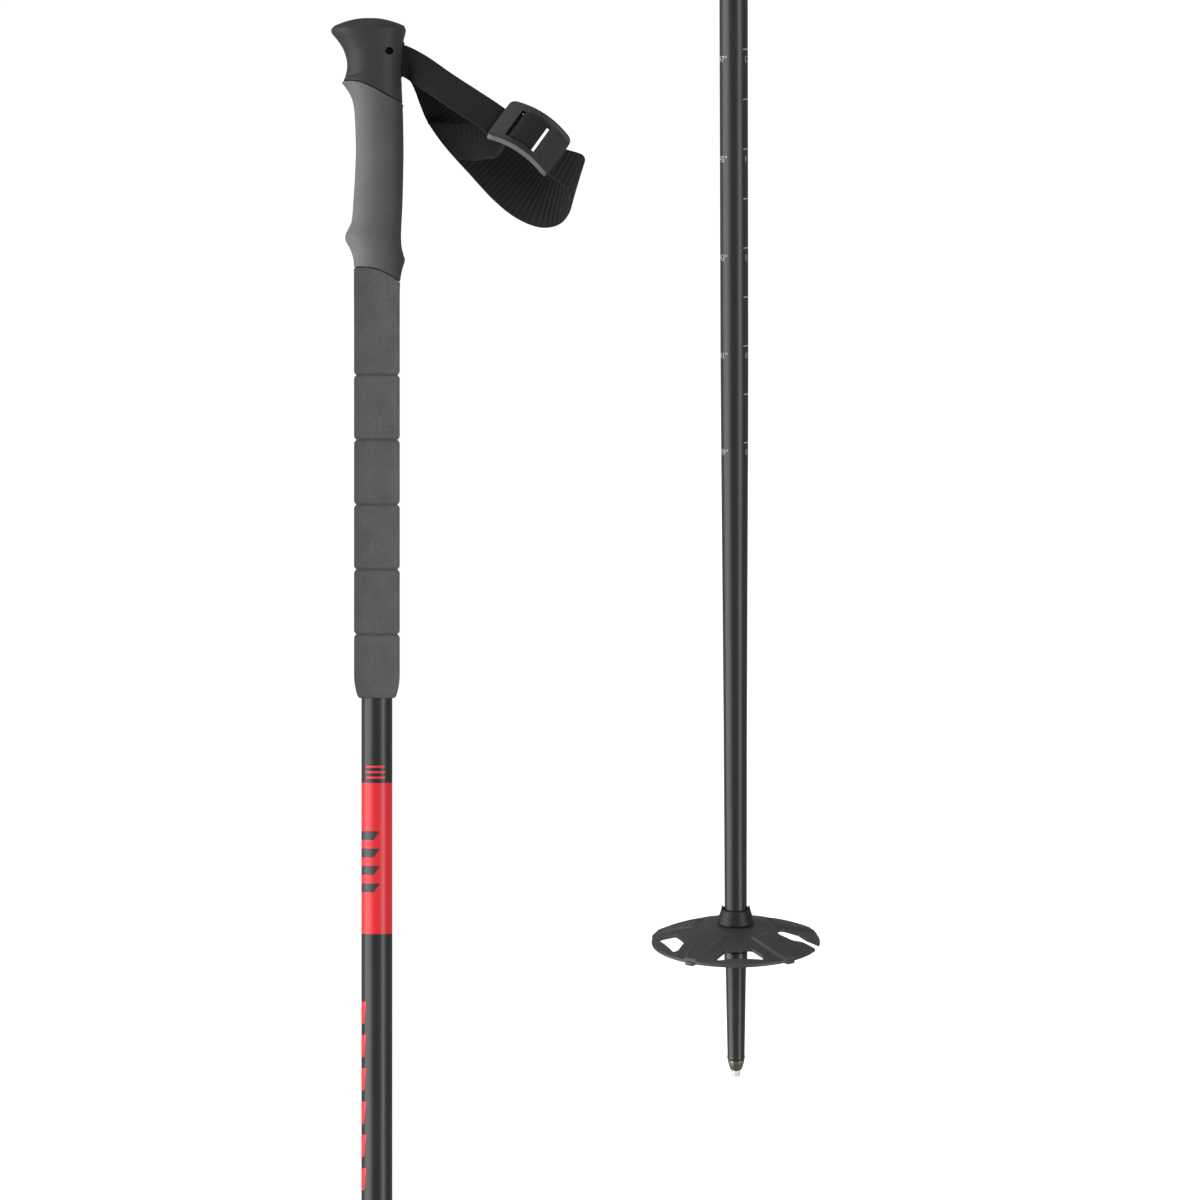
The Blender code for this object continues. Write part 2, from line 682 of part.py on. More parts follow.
def make_basket(group, disc_plastic, hub_plastic):
    half = DISC_THICK / 2
    disc = add_piece("basket_disc", disc_shell(8.2, BASKET_RADIUS, half, half), disc_plastic, group)
    low, high = 60 * MM, 95 * MM
    pitch = 360 / BASKET_SECTORS
    window = ((31.4, 10.5), (36.8, 17.0), (39.0, 14.0))
    rim_slot = ((21.5, 6.0), (24.0, 9.0), (32.0, 9.0), (35.0, 5.5), (50.0, 6.0))
    spoke = ((21.0, 14.0), (43.2, 5.6))
    for sector in range(BASKET_SECTORS):
        centre = FIRST_WINDOW_DEG + sector * pitch
        spoke_deg = centre + pitch / 2
        plate = disc_shell(21.0, BASKET_RADIUS - 0.3, 0, half + 0.9, 5)
        cutter = prism(sector_outline(spoke_deg, spoke), low, high)
        combine_spoke(disc, plate, cutter)
        lug_outline = sector_outline(spoke_deg, ((40.6, 3.4), (44.6, 3.2)))
        lug = prism(lug_outline, (RIM_HEIGHT - 1.6) * MM, (RIM_HEIGHT + 0.6) * MM)
        combine(disc, lug, "UNION")
    for sector in range(BASKET_SECTORS):
        centre = FIRST_WINDOW_DEG + sector * pitch
        stops = rim_slot if sector == SLOT_SECTOR else window
        combine(disc, prism(sector_outline(centre, stops), low, high), "DIFFERENCE")

    hub_low = 77.0
    hub_profile = [
        (7.8, hub_low),
        (7.8, 85.2),
        (9.4, 85.2),
        (9.3, 86.2),
        (7.5, 92.4),
        (7.1, 92.8),
        (6.2, 92.8),
        (6.2, hub_low),
    ]
    hub = turned([(r * MM, z * MM) for r, z in hub_profile], hollow=True)
    hub = add_piece("basket_hub", hub, hub_plastic, group)
    for side in (-1, 1):
        outline = [(side * 6.3, 91.5), (side * 7.3, 91.5), (side * 7.1, 94.2), (side * 6.5, 93.4)]
        catch = prism([(u * MM, v * MM) for u, v in outline], -1.6 * MM, 1.6 * MM, "Y")
        combine(hub, catch, "UNION")


def combine_spoke(disc, plate_mesh, cutter_mesh):
    """Join the part of a raised shell inside a plan outline to the disc."""
    plate = bpy.data.objects.new("spoke_cutter", plate_mesh)
    plate.hide_render = True
    plate.display_type = "WIRE"
    bpy.context.collection.objects.link(plate)
    combine(plate, cutter_mesh, "INTERSECT")
    modifier = disc.modifiers.new("spoke", "BOOLEAN")
    modifier.operation = "UNION"
    modifier.solver = "EXACT"
    modifier.object = plate


def make_tip(group, plastic, metal, carbide):
    socket = 2.9
    ferrule_profile = [
        (4.4, 9.8),
        (4.55, 10.4),
        (4.45, 12.2),
        (5.3, 60.0),
        (5.45, 64.0),
        (5.95, 64.4),
        (5.95, SHAFT_END / MM - 0.3),
        (4.55, SHAFT_END / MM - 0.3),
        (4.45, 110.0),
        (socket, 110.0),
        (socket, 9.8),
    ]
    add_piece(
        "ferrule",
        turned([(r * MM, z * MM) for r, z in ferrule_profile], hollow=True),
        plastic,
        group,
    )
    holder_profile = [
        (2.65, 3.8),
        (3.1, 4.2),
        (4.25, 8.2),
        (4.25, 9.5),
        (2.6, 9.5),
        (2.6, 30.0),
        (1.6, 30.0),
        (1.6, 3.8),
    ]
    add_piece(
        "tip_holder",
        turned([(r * MM, z * MM) for r, z in holder_profile], sides=10, hollow=True),
        metal,
        group,
    )
    tip_profile = [(1.5, 0.0), (2.1, 0.8), (2.15, 3.5), (1.25, 3.5), (1.25, 14.0)]
    add_piece("carbide_tip", turned([(r * MM, z * MM) for r, z in tip_profile], sides=24), carbide, group)


def main():
    clear_scene()
    hard_plastic = make_material("hard_plastic", (0.028, 0.029, 0.031), 0.5)
    rubber = make_material("rubber", (0.06, 0.061, 0.064), 0.75)
    foam = make_material("foam", (0.075, 0.076, 0.079), 0.95)
    webbing = make_material("webbing", (0.012, 0.012, 0.013), 0.85)
    buckle_plastic = make_material("buckle_plastic", (0.03, 0.031, 0.033), 0.45)
    clamp_plastic = make_material("clamp_plastic", (0.02, 0.02, 0.022), 0.45)
    lever_plastic = make_material("lever_plastic", (0.045, 0.045, 0.048), 0.4)
    disc_plastic = make_material("disc_plastic", (0.03, 0.031, 0.033), 0.35)
    ferrule_plastic = make_material("ferrule_plastic", (0.05, 0.05, 0.052), 0.4)
    shaft = make_material("shaft", (0.035, 0.036, 0.038), 0.38, 0.3)
    steel = make_material("steel", (0.55, 0.55, 0.56), 0.3, 1.0)
    tip_metal = make_material("tip_metal", (0.2, 0.19, 0.14), 0.4, 0.9)
    carbide = make_material("carbide", (0.7, 0.7, 0.72), 0.3, 0.5)

    upper = Group("upper_section")
    lower = Group("lower_section", (0, 0, CLAMP_BOTTOM))
    lever = Group("lever", (BOLT_X * MM, CAM_Y * MM, BOLT_HEIGHT))
    wheel = Group("wheel", (BOLT_X * MM, 8.7 * MM, BOLT_HEIGHT))
    strap = Group("strap", (STRAP_HINGE_X * MM, 0, from_top(SLOT_TOP + SLOT_HEIGHT / 2)))

    make_upper_shaft(upper, shaft)
    make_grip(upper, hard_plastic, rubber, foam)
    make_strap_anchor(upper, webbing, steel)
    make_strap(strap, webbing, buckle_plastic)
    make_clamp(upper, lever, wheel, clamp_plastic, lever_plastic, steel)
    make_lower_section(lower, shaft, clamp_plastic)
    make_basket(lower, disc_plastic, hard_plastic)
    make_tip(lower, ferrule_plastic, tip_metal, carbide)


main()
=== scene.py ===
import json
import math

import bmesh
import bpy
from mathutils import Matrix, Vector

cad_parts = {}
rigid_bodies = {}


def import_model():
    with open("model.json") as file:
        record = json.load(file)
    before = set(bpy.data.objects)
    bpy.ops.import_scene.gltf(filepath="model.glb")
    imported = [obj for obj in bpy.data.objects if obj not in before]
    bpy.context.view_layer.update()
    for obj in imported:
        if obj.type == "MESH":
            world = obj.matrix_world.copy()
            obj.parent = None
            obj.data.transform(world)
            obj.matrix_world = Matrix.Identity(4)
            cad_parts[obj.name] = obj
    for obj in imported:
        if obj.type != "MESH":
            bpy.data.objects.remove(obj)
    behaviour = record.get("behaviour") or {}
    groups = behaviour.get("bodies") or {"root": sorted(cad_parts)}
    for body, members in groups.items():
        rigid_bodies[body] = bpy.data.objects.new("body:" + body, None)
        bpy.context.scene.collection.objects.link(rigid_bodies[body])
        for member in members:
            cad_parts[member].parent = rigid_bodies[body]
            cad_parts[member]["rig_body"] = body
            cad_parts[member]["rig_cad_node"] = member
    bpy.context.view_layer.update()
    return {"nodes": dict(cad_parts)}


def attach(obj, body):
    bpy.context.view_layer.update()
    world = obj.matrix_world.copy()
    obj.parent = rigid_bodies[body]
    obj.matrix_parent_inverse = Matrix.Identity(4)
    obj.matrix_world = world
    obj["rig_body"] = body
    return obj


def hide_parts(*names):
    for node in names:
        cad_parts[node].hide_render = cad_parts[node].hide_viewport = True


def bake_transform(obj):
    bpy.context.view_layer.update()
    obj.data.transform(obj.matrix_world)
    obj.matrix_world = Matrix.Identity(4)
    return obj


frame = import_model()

MM = 0.001
POLE_TOP = 1.250
TAU = 2 * math.pi

# ---- the grip's shape, in millimetres

# Depth below the top, front, rear and half width.
GRIP_STATIONS = (
    (3.8, -21.9, 14.2, 16.3),
    (5.2, -23.3, 14.8, 17.2),
    (6.4, -23.7, 15.0, 17.5),
    (7.8, -23.2, 14.7, 17.2),
    (11.6, -20.1, 13.8, 15.9),
    (15.8, -17.5, 13.2, 14.8),
    (20.0, -16.0, 12.9, 14.2),
    (24.0, -15.4, 12.6, 13.9),
    (28.2, -15.9, 12.5, 13.9),
    (32.0, -17.4, 12.7, 14.3),
    (33.6, -17.6, 12.9, 14.5),
    (35.6, -16.3, 12.9, 14.5),
    (38.5, -14.4, 13.0, 14.4),
    (42.7, -12.6, 13.2, 14.0),
    (49.0, -11.6, 13.5, 13.8),
    (67.5, -10.9, 13.8, 14.0),
    (82.0, -11.4, 13.6, 14.0),
    (94.4, -12.2, 13.3, 13.7),
    (104.7, -13.1, 12.8, 13.6),
    (108.8, -14.8, 12.6, 14.1),
    (112.4, -16.5, 12.5, 14.9),
    (115.2, -16.0, 12.6, 15.3),
    (119.2, -13.8, 13.0, 15.0),
    (124.4, -12.2, 14.5, 14.4),
    (129.5, -11.9, 13.2, 13.0),
    (134.0, -11.9, 12.3, 12.2),
    (140.0, -11.9, 11.9, 11.9),
    (160.0, -11.85, 11.85, 11.85),
)
DOME_HEIGHT = 4.2
DOME_START = 0.3
SECTION_POWER = 2.35
GRIP_SIDES = 96
CORE_EDGE = (32.5, -9.0, 0.53, 2.5)
RUBBER_EDGE = (128.9, 0.5, 0.62, 3.0)
SLOT_TOP, SLOT_HEIGHT, SLOT_FRONT = 12.8, 16.9, 3.5
PIN_X, PIN_DEPTH, PIN_HOLE_RADIUS = 6.7, 17.5, 2.05
FOAM_RADIUS, FOAM_BOTTOM = 11.85, 351.3
FOAM_GROOVES = tuple(184.3 + 33.5 * i for i in range(5))
# A turned groove's section: place across it, and how deep it is sunk.
GROOVE_SECTION = ((-2.2, 0.0), (-1.3, 0.1), (-0.6, 0.6), (0.0, 1.25), (0.6, 0.6), (1.3, 0.1), (2.2, 0.0))

# ---- the strap's route, in millimetres

STRAP_WIDTH = 20.5
STRAP_THICK = 1.3
# x, y, depth, then the direction of the width, whose length is the share of the full width.
FRONT_ROUTE = (
    (5.0, -0.75, 21.3, (0.0, 0.0, 0.79)),
    (12.0, -0.8, 21.5, (0.0, 0.0, 0.79)),
    (17.2, -1.3, 23.6, (0.0, 0.0, 0.86)),
    (24.0, -4.6, 27.9, (0.21, 0.40, 0.80)),
    (35.0, -9.2, 35.6, (0.38, 0.62, 0.66)),
    (48.0, -11.6, 44.3, (0.43, 0.64, 0.64)),
    (56.6, -12.2, 49.9, (0.43, 0.64, 0.64)),
)
LOOP_ROUTE = (
    (5.0, 0.75, 21.3, (0.0, 0.0, 0.79)),
    (12.0, 0.8, 21.5, (0.0, 0.0, 0.79)),
    (17.2, 1.3, 23.6, (0.0, 0.0, 0.86)),
    (21.8, 3.6, 28.6, (0.16, 0.24, 0.92)),
    (27.0, 6.6, 35.0, (0.47, 0.16, 0.88)),
    (34.9, 10.6, 46.4, (0.86, 0.10, 0.65)),
    (43.8, 13.8, 57.9, (0.88, 0.09, 0.73)),
    (55.7, 16.4, 70.1, (0.87, 0.09, 0.84)),
    (69.9, 16.9, 83.0, (0.94, 0.14, 1.0)),
    (80.2, 14.6, 90.3, (0.77, 0.2, 1.22)),
    (88.8, 10.5, 93.6, (0.38, 0.27, 1.38)),
    (97.2, 4.7, 92.5, (0.22, 0.26, 1.29)),
    (103.1, -2.6, 86.4, (0.31, 0.33, 1.12)),
    (102.2, -9.0, 79.6, (0.38, 0.52, 0.88)),
)
BUCKLE_CENTRE = Vector((79.3, -17.3, -62.0))
BUCKLE_ALONG = Vector((0.83, 0.0, -0.558)).normalized()
BUCKLE_TILT = math.radians(40)
BUCKLE_LENGTH, BUCKLE_WIDTH, BUCKLE_THICK, BUCKLE_ARCH = 37.5, 30.0, 2.6, 5.4
BUCKLE_WINDOWS = ((7.9, 12.7), (21.4, 24.9))
WINDOW_WIDTH = 21.1
FRONT_THREAD = (
    (2.0, -3.2, 1.08),
    (6.5, -2.6, 1.3),
    (9.2, -2.0, 1.04),
    (10.3, 0.0, 1.0),
    (11.6, 2.0, 1.0),
    (13.8, 2.5, 1.0),
    (17.0, 2.5, 1.0),
    (20.0, 2.5, 1.0),
    (22.0, 1.8, 1.0),
    (22.8, 0.0, 1.0),
    (22.0, -2.1, 1.0),
    (19.5, -2.9, 1.0),
    (15.0, -3.6, 1.0),
    (11.5, -4.8, 1.0),
)
LOOP_THREAD = ((35.0, -3.4, 1.0), (28.4, -2.6, 1.0))
TAIL_ROUTE = (
    (66.0, -12.6, 63.6, (0.30, 0.52, 0.84)),
    (57.0, -8.2, 63.8, (0.08, 0.38, 0.92)),
    (50.0, -3.6, 64.0, (-0.15, 0.26, 0.95)),
    (44.5, 0.2, 63.8, (-0.35, 0.18, 0.93)),
    (39.0, 3.4, 63.3, (-0.55, 0.12, 0.93)),
    (33.8, 6.0, 62.7, (-0.75, 0.08, 0.94)),
)

# ---- shafts and basket, in millimetres

UPPER_RADIUS = 8.0
LOWER_PROFILE = ((5.66, 70.0), (5.98, 190.0), (6.40, 268.0), (6.85, 345.0), (7.00, 388.0), (7.00, 830.0))
RED_BAND = (777.0, 855.0)
FIRST_TICK, TICK_PITCH = 342.0, 25.0
BASKET_RADIUS, RIM_HEIGHT, DOME_RISE, DISC_THICK = 43.5, 74.5, 9.0, 1.7
BASKET_SECTORS = 5
FIRST_WINDOW_DEG = 3.5
SLOT_SECTOR = 1
WINDOW = ((31.2, 12.0), (38.6, 18.6), (40.6, 16.6))
RIM_SLOT = ((22.5, 7.0), (25.0, 11.5), (32.5, 11.5), (36.5, 5.5), (50.0, 6.0))
SPOKE = ((21.0, 18.0), (43.2, 4.4))
# The carbide point's rings: radius, height, and how deep its flutes cut there.
TIP_RINGS = (
    (0.5, 1.1, 0.0),
    (1.3, 0.6, 0.2),
    (2.0, 0.05, 0.9),
    (2.15, 0.9, 0.5),
    (2.18, 3.5, 0.2),
    (1.2, 3.6, 0.0),
)
TIP_FLUTES = 8


# ---- materials


def add_node(tree, kind, inputs=None, **settings):
    """A new node, whose inputs take values or the sockets of other nodes."""
    made = tree.nodes.new(kind)
    for name, value in settings.items():
        setattr(made, name, value)
    for name, value in (inputs or {}).items():
        if isinstance(value, bpy.types.NodeSocket):
            tree.links.new(value, made.inputs[name])
        else:
            made.inputs[name].default_value = value
    return made


class Material:
    """A node material built round one Principled BSDF."""

    def __init__(self, name, colour, roughness, **sockets):
        self.data = bpy.data.materials.new(name)
        self.data.use_nodes = True
        self.tree = self.data.node_tree
        self.shader = self.tree.nodes["Principled BSDF"]
        self.set("Base Color", (*colour, 1.0))
        self.set("Roughness", roughness)
        for socket, value in sockets.items():
            self.set(socket.replace("_", " "), value)
        self.coordinates = self.node("ShaderNodeTexCoord")
        self.height = None

    def set(self, socket, value):
        if isinstance(value, bpy.types.NodeSocket):
            self.tree.links.new(value, self.shader.inputs[socket])
        else:
            self.shader.inputs[socket].default_value = value

    def node(self, kind, inputs=None, **settings):
        return add_node(self.tree, kind, inputs, **settings)

    def math(self, operation, first, second=0.0, third=0.0):
        inputs = {0: first, 1: second, 2: third}
        return self.node("ShaderNodeMath", inputs, operation=operation).outputs[0]

    def times(self, first, second):
        return self.math("MULTIPLY", first, second)

    def wave(self, value, pitch):
        """A sine that repeats after each pitch."""
        return self.math("SINE", self.times(value, TAU / pitch))

    def noise(self, size, detail=3.0, source="Object", stretch=(1, 1, 1), roughness=0.55):
        """Noise whose grains are about this size in metres, or in the units of UV."""
        vector = self.coordinates.outputs[source]
        if stretch != (1, 1, 1):
            inputs = {0: vector, 1: stretch}
            vector = self.node("ShaderNodeVectorMath", inputs, operation="MULTIPLY").outputs[0]
        inputs = {"Vector": vector, "Scale": 1 / size, "Detail": detail, "Roughness": roughness}
        return self.node("ShaderNodeTexNoise", inputs).outputs["Fac"]

    def cloud(self, size):
        """Soft patches of this size, from 0 to 1."""
        return self.ramp(self.noise(size, 4.0), 0.0, 1.0, 0.3, 0.7)

    def ramp(self, value, low, high, start=0.0, end=1.0):
        inputs = {"Value": value, "From Min": start, "From Max": end, "To Min": low, "To Max": high}
        return self.node("ShaderNodeMapRange", inputs).outputs[0]

    def mix(self, factor, first, second):
        made = self.node("ShaderNodeMix", data_type="RGBA")
        for name, value in (("Factor_Float", factor), ("A_Color", first), ("B_Color", second)):
            socket = next(s for s in made.inputs if s.identifier == name)
            if isinstance(value, bpy.types.NodeSocket):
                self.tree.links.new(value, socket)
            else:
                socket.default_value = value if isinstance(value, float) else (*value[:3], 1.0)
        return next(s for s in made.outputs if s.identifier == "Result_Color")

    def tinted(self, first, second):
        """One colour times another."""
        inputs = {0: first, 1: second}
        return self.node("ShaderNodeVectorMath", inputs, operation="MULTIPLY").outputs[0]

    def axis(self, letter, source="Object"):
        split = self.node("ShaderNodeSeparateXYZ", {0: self.coordinates.outputs[source]})
        return split.outputs[letter]

    def bump(self, value, distance, strength=1.0):
        inputs = {"Height": value, "Distance": distance, "Strength": strength}
        if self.height is not None:
            inputs["Normal"] = self.height
        self.height = self.node("ShaderNodeBump", inputs).outputs[0]
        self.set("Normal", self.height)


def grey(value):
    return (value, value, value)


def scaled(colour, factor):
    return tuple(channel * factor for channel in colour)


def moulded(name, colour, roughness, grain=0.00045, depth=0.00002, wear=0.25, sides=(1.0, 1.0), **sockets):
    """Moulded plastic or rubber: a fine spark-eroded grain, faint cloudiness, paler edges and, where sides
    differ, painted light and shade: one side of the piece painted paler than the other."""
    made = Material(name, colour, roughness, **sockets)
    body = made.mix(made.cloud(0.018), scaled(colour, 0.88), scaled(colour, 1.12))
    edge = made.node("ShaderNodeNewGeometry").outputs["Pointiness"]
    worn = made.times(made.ramp(edge, 0.0, wear, 0.52, 0.60), made.noise(0.003))
    tone = made.mix(worn, body, scaled(colour, 2.6))
    low, high = sides
    # Painted light and shade: the colour is scaled from sides[0] on the -X side to sides[1] on the +X side.
    painted_side_light = made.mix(made.ramp(made.axis("X"), 0.0, 1.0, -0.012, 0.012), grey(low), grey(high))
    made.set("Base Color", made.tinted(tone, painted_side_light))
    fine = made.noise(grain, 2.0)
    made.set("Roughness", made.ramp(fine, roughness - 0.06, roughness + 0.08, 0.3, 0.7))
    made.bump(fine, depth)
    made.bump(made.noise(0.006, 2.0), 0.00004, 0.5)
    return made


def foam_material():
    colour = (0.064, 0.064, 0.065)
    made = Material("foam", colour, 0.88, Specular_IOR_Level=0.3)
    cell = made.node(
        "ShaderNodeTexVoronoi",
        {"Vector": made.coordinates.outputs["Object"], "Scale": 1 / 0.00075, "Randomness": 1.0},
    )
    pore = made.ramp(cell.outputs["Distance"], 0.0, 1.0, 0.05, 0.45)
    tone = made.mix(made.cloud(0.012), scaled(colour, 0.9), scaled(colour, 1.15))
    # Painted light: the foam is made darker towards -X and paler towards +X.
    side = made.ramp(made.axis("X"), 0.0, 1.0, -0.012, 0.010)
    painted_side_light = made.mix(side, grey(0.66), grey(2.1))
    tone = made.mix(pore, scaled(colour, 0.6), tone)
    made.set("Base Color", made.tinted(tone, painted_side_light))
    made.bump(pore, 0.00006, 0.8)
    made.bump(made.noise(0.004, 3.0), 0.00025, 0.6)
    return made


def webbing_material(name, rib, rib_depth, coarse_from=None):
    """Woven webbing. UV holds millimetres: across the band, then along it. From coarse_from on it shows the
    coarser ribs of the webbing's other face."""
    colour = grey(0.009)
    made = Material(name, colour, 0.80, Specular_IOR_Level=0.2, Sheen_Weight=0.08)
    across = made.axis("X", "UV")
    along = made.axis("Y", "UV")
    wobble = made.times(made.noise(9.0, 2.0, "UV"), 0.8)
    along = made.math("ADD", along, wobble)
    weft = made.wave(along, rib)
    if coarse_from is not None:
        turned = made.math("GREATER_THAN", along, coarse_from)
        coarse = made.wave(along, 2.7)
        weft = made.math("ADD", made.times(made.math("SUBTRACT", coarse, weft), turned), weft)
    yarn_a = made.wave(across, 0.9)
    yarn_b = made.wave(along, 0.75)
    yarn = made.times(yarn_a, yarn_b)
    ridge = made.ramp(weft, 0.0, 1.0, -1.0, 1.0)
    weave = made.ramp(yarn, 0.0, 1.0, -1.0, 1.0)
    pale = 2.4 if coarse_from is None else 1.7
    tone = made.mix(ridge, scaled(colour, 0.6), scaled(colour, pale))
    tone = made.mix(made.times(weave, 0.5), tone, scaled(colour, 0.45))
    fuzz = made.ramp(made.noise(0.35, 3.0, "UV"), 0.0, 0.4, 0.4, 0.75)
    made.set("Base Color", made.mix(fuzz, tone, scaled(colour, 3.2)))
    made.bump(ridge, rib_depth)
    made.bump(weave, 0.00012, 0.8)
    return made


def shaft_material():
    """Satin painted aluminium with fine drawn lines along the tube, and one red band."""
    black = (0.017, 0.017, 0.0175)
    made = Material("shaft_paint", black, 0.30, Specular_IOR_Level=0.42)
    height = made.axis("Z")
    low, high = (edge * MM for edge in RED_BAND)
    above = made.math("GREATER_THAN", height, low)
    inside = made.times(above, made.math("LESS_THAN", height, high))
    drawn = made.noise(0.0012, 3.0, stretch=(1, 1, 0.03))
    cloud = made.cloud(0.05)
    dark = made.mix(cloud, scaled(black, 0.92), scaled(black, 1.08))
    red = made.mix(cloud, (0.70, 0.022, 0.030), (0.76, 0.028, 0.036))
    tone = made.mix(inside, dark, red)
    speck = made.ramp(made.noise(0.0007, 1.0), 0.0, 0.5, 0.76, 0.80)
    made.set("Base Color", made.mix(speck, tone, grey(0.16)))
    made.set("Roughness", made.ramp(drawn, 0.30, 0.38, 0.3, 0.7))
    made.bump(drawn, 0.000006)
    return made


def ink_material(name, colour):
    """Screen-printed ink, thin enough to let the shaft's tone through in specks."""
    made = Material(name, colour, 0.42)
    gap = made.ramp(made.noise(0.0006, 2.0), 0.0, 0.6, 0.62, 0.74)
    made.set("Base Color", made.mix(gap, colour, scaled(colour, 0.55)))
    made.bump(made.noise(0.0004, 2.0), 0.00001)
    return made


def metal_material(name, colour, roughness, scratch=0.0006):
    made = Material(name, colour, roughness, Metallic=1.0)
    fine = made.noise(scratch, 4.0, stretch=(1, 1, 0.2))
    made.set("Roughness", made.ramp(fine, roughness - 0.08, roughness + 0.12, 0.3, 0.7))
    made.set("Base Color", made.mix(made.noise(0.002), scaled(colour, 0.75), scaled(colour, 1.1)))
    made.bump(fine, 0.00003)
    return made


def buckle_material():
    """Moulded nylon; UV holds millimetres along and across, the far plate has slanted grip ribs, and one
    side wall has painted light.
    """
    made = moulded("buckle_plastic", grey(0.028), 0.46, Specular_IOR_Level=0.35)
    along = made.axis("X", "UV")
    across = made.axis("Y", "UV")
    slant = made.math("ADD", made.times(along, 0.45), made.times(across, 0.9))
    wave = made.wave(slant, 2.6)
    rib = made.ramp(wave, 0.0, 1.0, -0.2, 0.9)
    start = made.ramp(along, 0.0, 1.0, 27.4, 28.0)
    stop = made.ramp(along, 1.0, 0.0, 35.4, 36.0)
    side = made.ramp(made.math("ABSOLUTE", across), 1.0, 0.0, 11.6, 12.3)
    mask = made.times(made.times(start, stop), side)
    made.bump(made.times(rib, mask), 0.0006)
    # Painted light: the side wall at across near -15 mm is painted paler, as if lit from below.
    painted_light_wall = made.ramp(across, 1.0, 0.0, -14.95, -14.7)
    cloud = made.noise(0.002, 3.0)
    pale = made.mix(cloud, (0.10, 0.10, 0.105), (0.17, 0.17, 0.175))
    dark = made.mix(made.noise(0.018, 4.0), grey(0.023), grey(0.034))
    made.set("Base Color", made.mix(painted_light_wall, dark, pale))
    return made


# ---- mesh helpers


def link(name, mesh):
    made = bpy.data.objects.new(name, mesh)
    bpy.context.scene.collection.objects.link(made)
    return made


def smooth(mesh, degrees):
    mesh.shade_smooth()
    mesh.set_sharp_from_angle(angle=math.radians(degrees))


def skin(name, rows, cap_start=False, cap_end=False, closed_rows=False, uvs=None, degrees=40):
    """A surface over rows of equally many points round a closed section; uvs are (section, along) in mm."""
    count = len(rows[0])
    points = [point for row in rows for point in row]
    faces = []
    corners = []
    spans = len(rows) if closed_rows else len(rows) - 1
    for i in range(spans):
        a, b = i * count, (i + 1) % len(rows) * count
        for k in range(count):
            n = (k + 1) % count
            faces.append((a + k, a + n, b + n, b + k))
            corners.append(((k, i), (k + 1, i), (k + 1, i + 1), (k, i + 1)))
    if cap_start:
        faces.append(tuple(range(count))[::-1])
        corners.append(tuple((k, 0) for k in range(count))[::-1])
    if cap_end:
        last = (len(rows) - 1) * count
        faces.append(tuple(last + k for k in range(count)))
        corners.append(tuple((k, len(rows) - 1) for k in range(count)))
    mesh = bpy.data.meshes.new(name)
    mesh.from_pydata(points, [], faces)
    if uvs:
        section, along = uvs
        layer = mesh.uv_layers.new(name="UVMap")
        flat = [(section[k], along[i]) for face in corners for k, i in face]
        for loop, spot in zip(layer.data, flat):
            loop.uv = spot
    smooth(mesh, degrees)
    return link(name, mesh)


def closed(name, rows, *caps, **shape):
    """A closed skin with its faces turned outwards."""
    made = skin(name, rows, *caps, **shape)
    work = bmesh.new()
    work.from_mesh(made.data)
    bmesh.ops.recalc_face_normals(work, faces=work.faces)
    work.to_mesh(made.data)
    work.free()
    return made


def assembled(piece, body, material, *replaced):
    piece.data.materials.clear()
    piece.data.materials.append(material.data)
    if body:
        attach(piece, body)
    if replaced:
        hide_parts(*replaced)
    return piece


def applied(piece):
    """Bake the piece's modifiers into its mesh."""
    graph = bpy.context.evaluated_depsgraph_get()
    mesh = bpy.data.meshes.new_from_object(piece.evaluated_get(graph), depsgraph=graph)
    piece.modifiers.clear()
    piece.data = mesh


def bevelled(piece, width, segments, degrees):
    """Round the edges that are sharper than this angle; the width is in millimetres."""
    bevel = piece.modifiers.new("edges", "BEVEL")
    bevel.width = width * MM
    bevel.segments = segments
    bevel.limit_method = "ANGLE"
    bevel.angle_limit = math.radians(degrees)
    applied(piece)


def cut(piece, cutter):
    modifier = piece.modifiers.new("cut", "BOOLEAN")
    modifier.operation = "DIFFERENCE"
    modifier.solver = "EXACT"
    modifier.object = cutter
    applied(piece)
    bpy.data.objects.remove(cutter)


def prism_z(name, outline, low, high):
    rows = [[(x * MM, y * MM, z * MM) for x, y in outline] for z in (low, high)]
    return closed(name, rows, True, True)


def rounded_outline(points, radius, steps=5):
    """The same outline with its corners rounded."""
    made = []
    count = len(points)
    for i, point in enumerate(points):
        here = Vector(point)
        before = Vector(points[i - 1]) - here
        after = Vector(points[(i + 1) % count]) - here
        reach = min(radius, before.length * 0.45, after.length * 0.45)
        first = here + before.normalized() * reach
        last = here + after.normalized() * reach
        for k in range(steps + 1):
            t = k / steps
            made.append(first * (1 - t) ** 2 + here * 2 * t * (1 - t) + last * t**2)
    return made


def around(radius, turn, height):
    """A point in metres from a radius, a turn and a height in millimetres."""
    return (radius * math.cos(turn) * MM, radius * math.sin(turn) * MM, height * MM)


def lathe(name, profile, sides=96, degrees=35):
    """Turn (radius, height) points in millimetres round Z; the profile is a closed outline."""
    rows = [[around(radius, TAU * k / sides, height) for k in range(sides)] for radius, height in profile]
    return closed(name, rows, closed_rows=True, degrees=degrees)


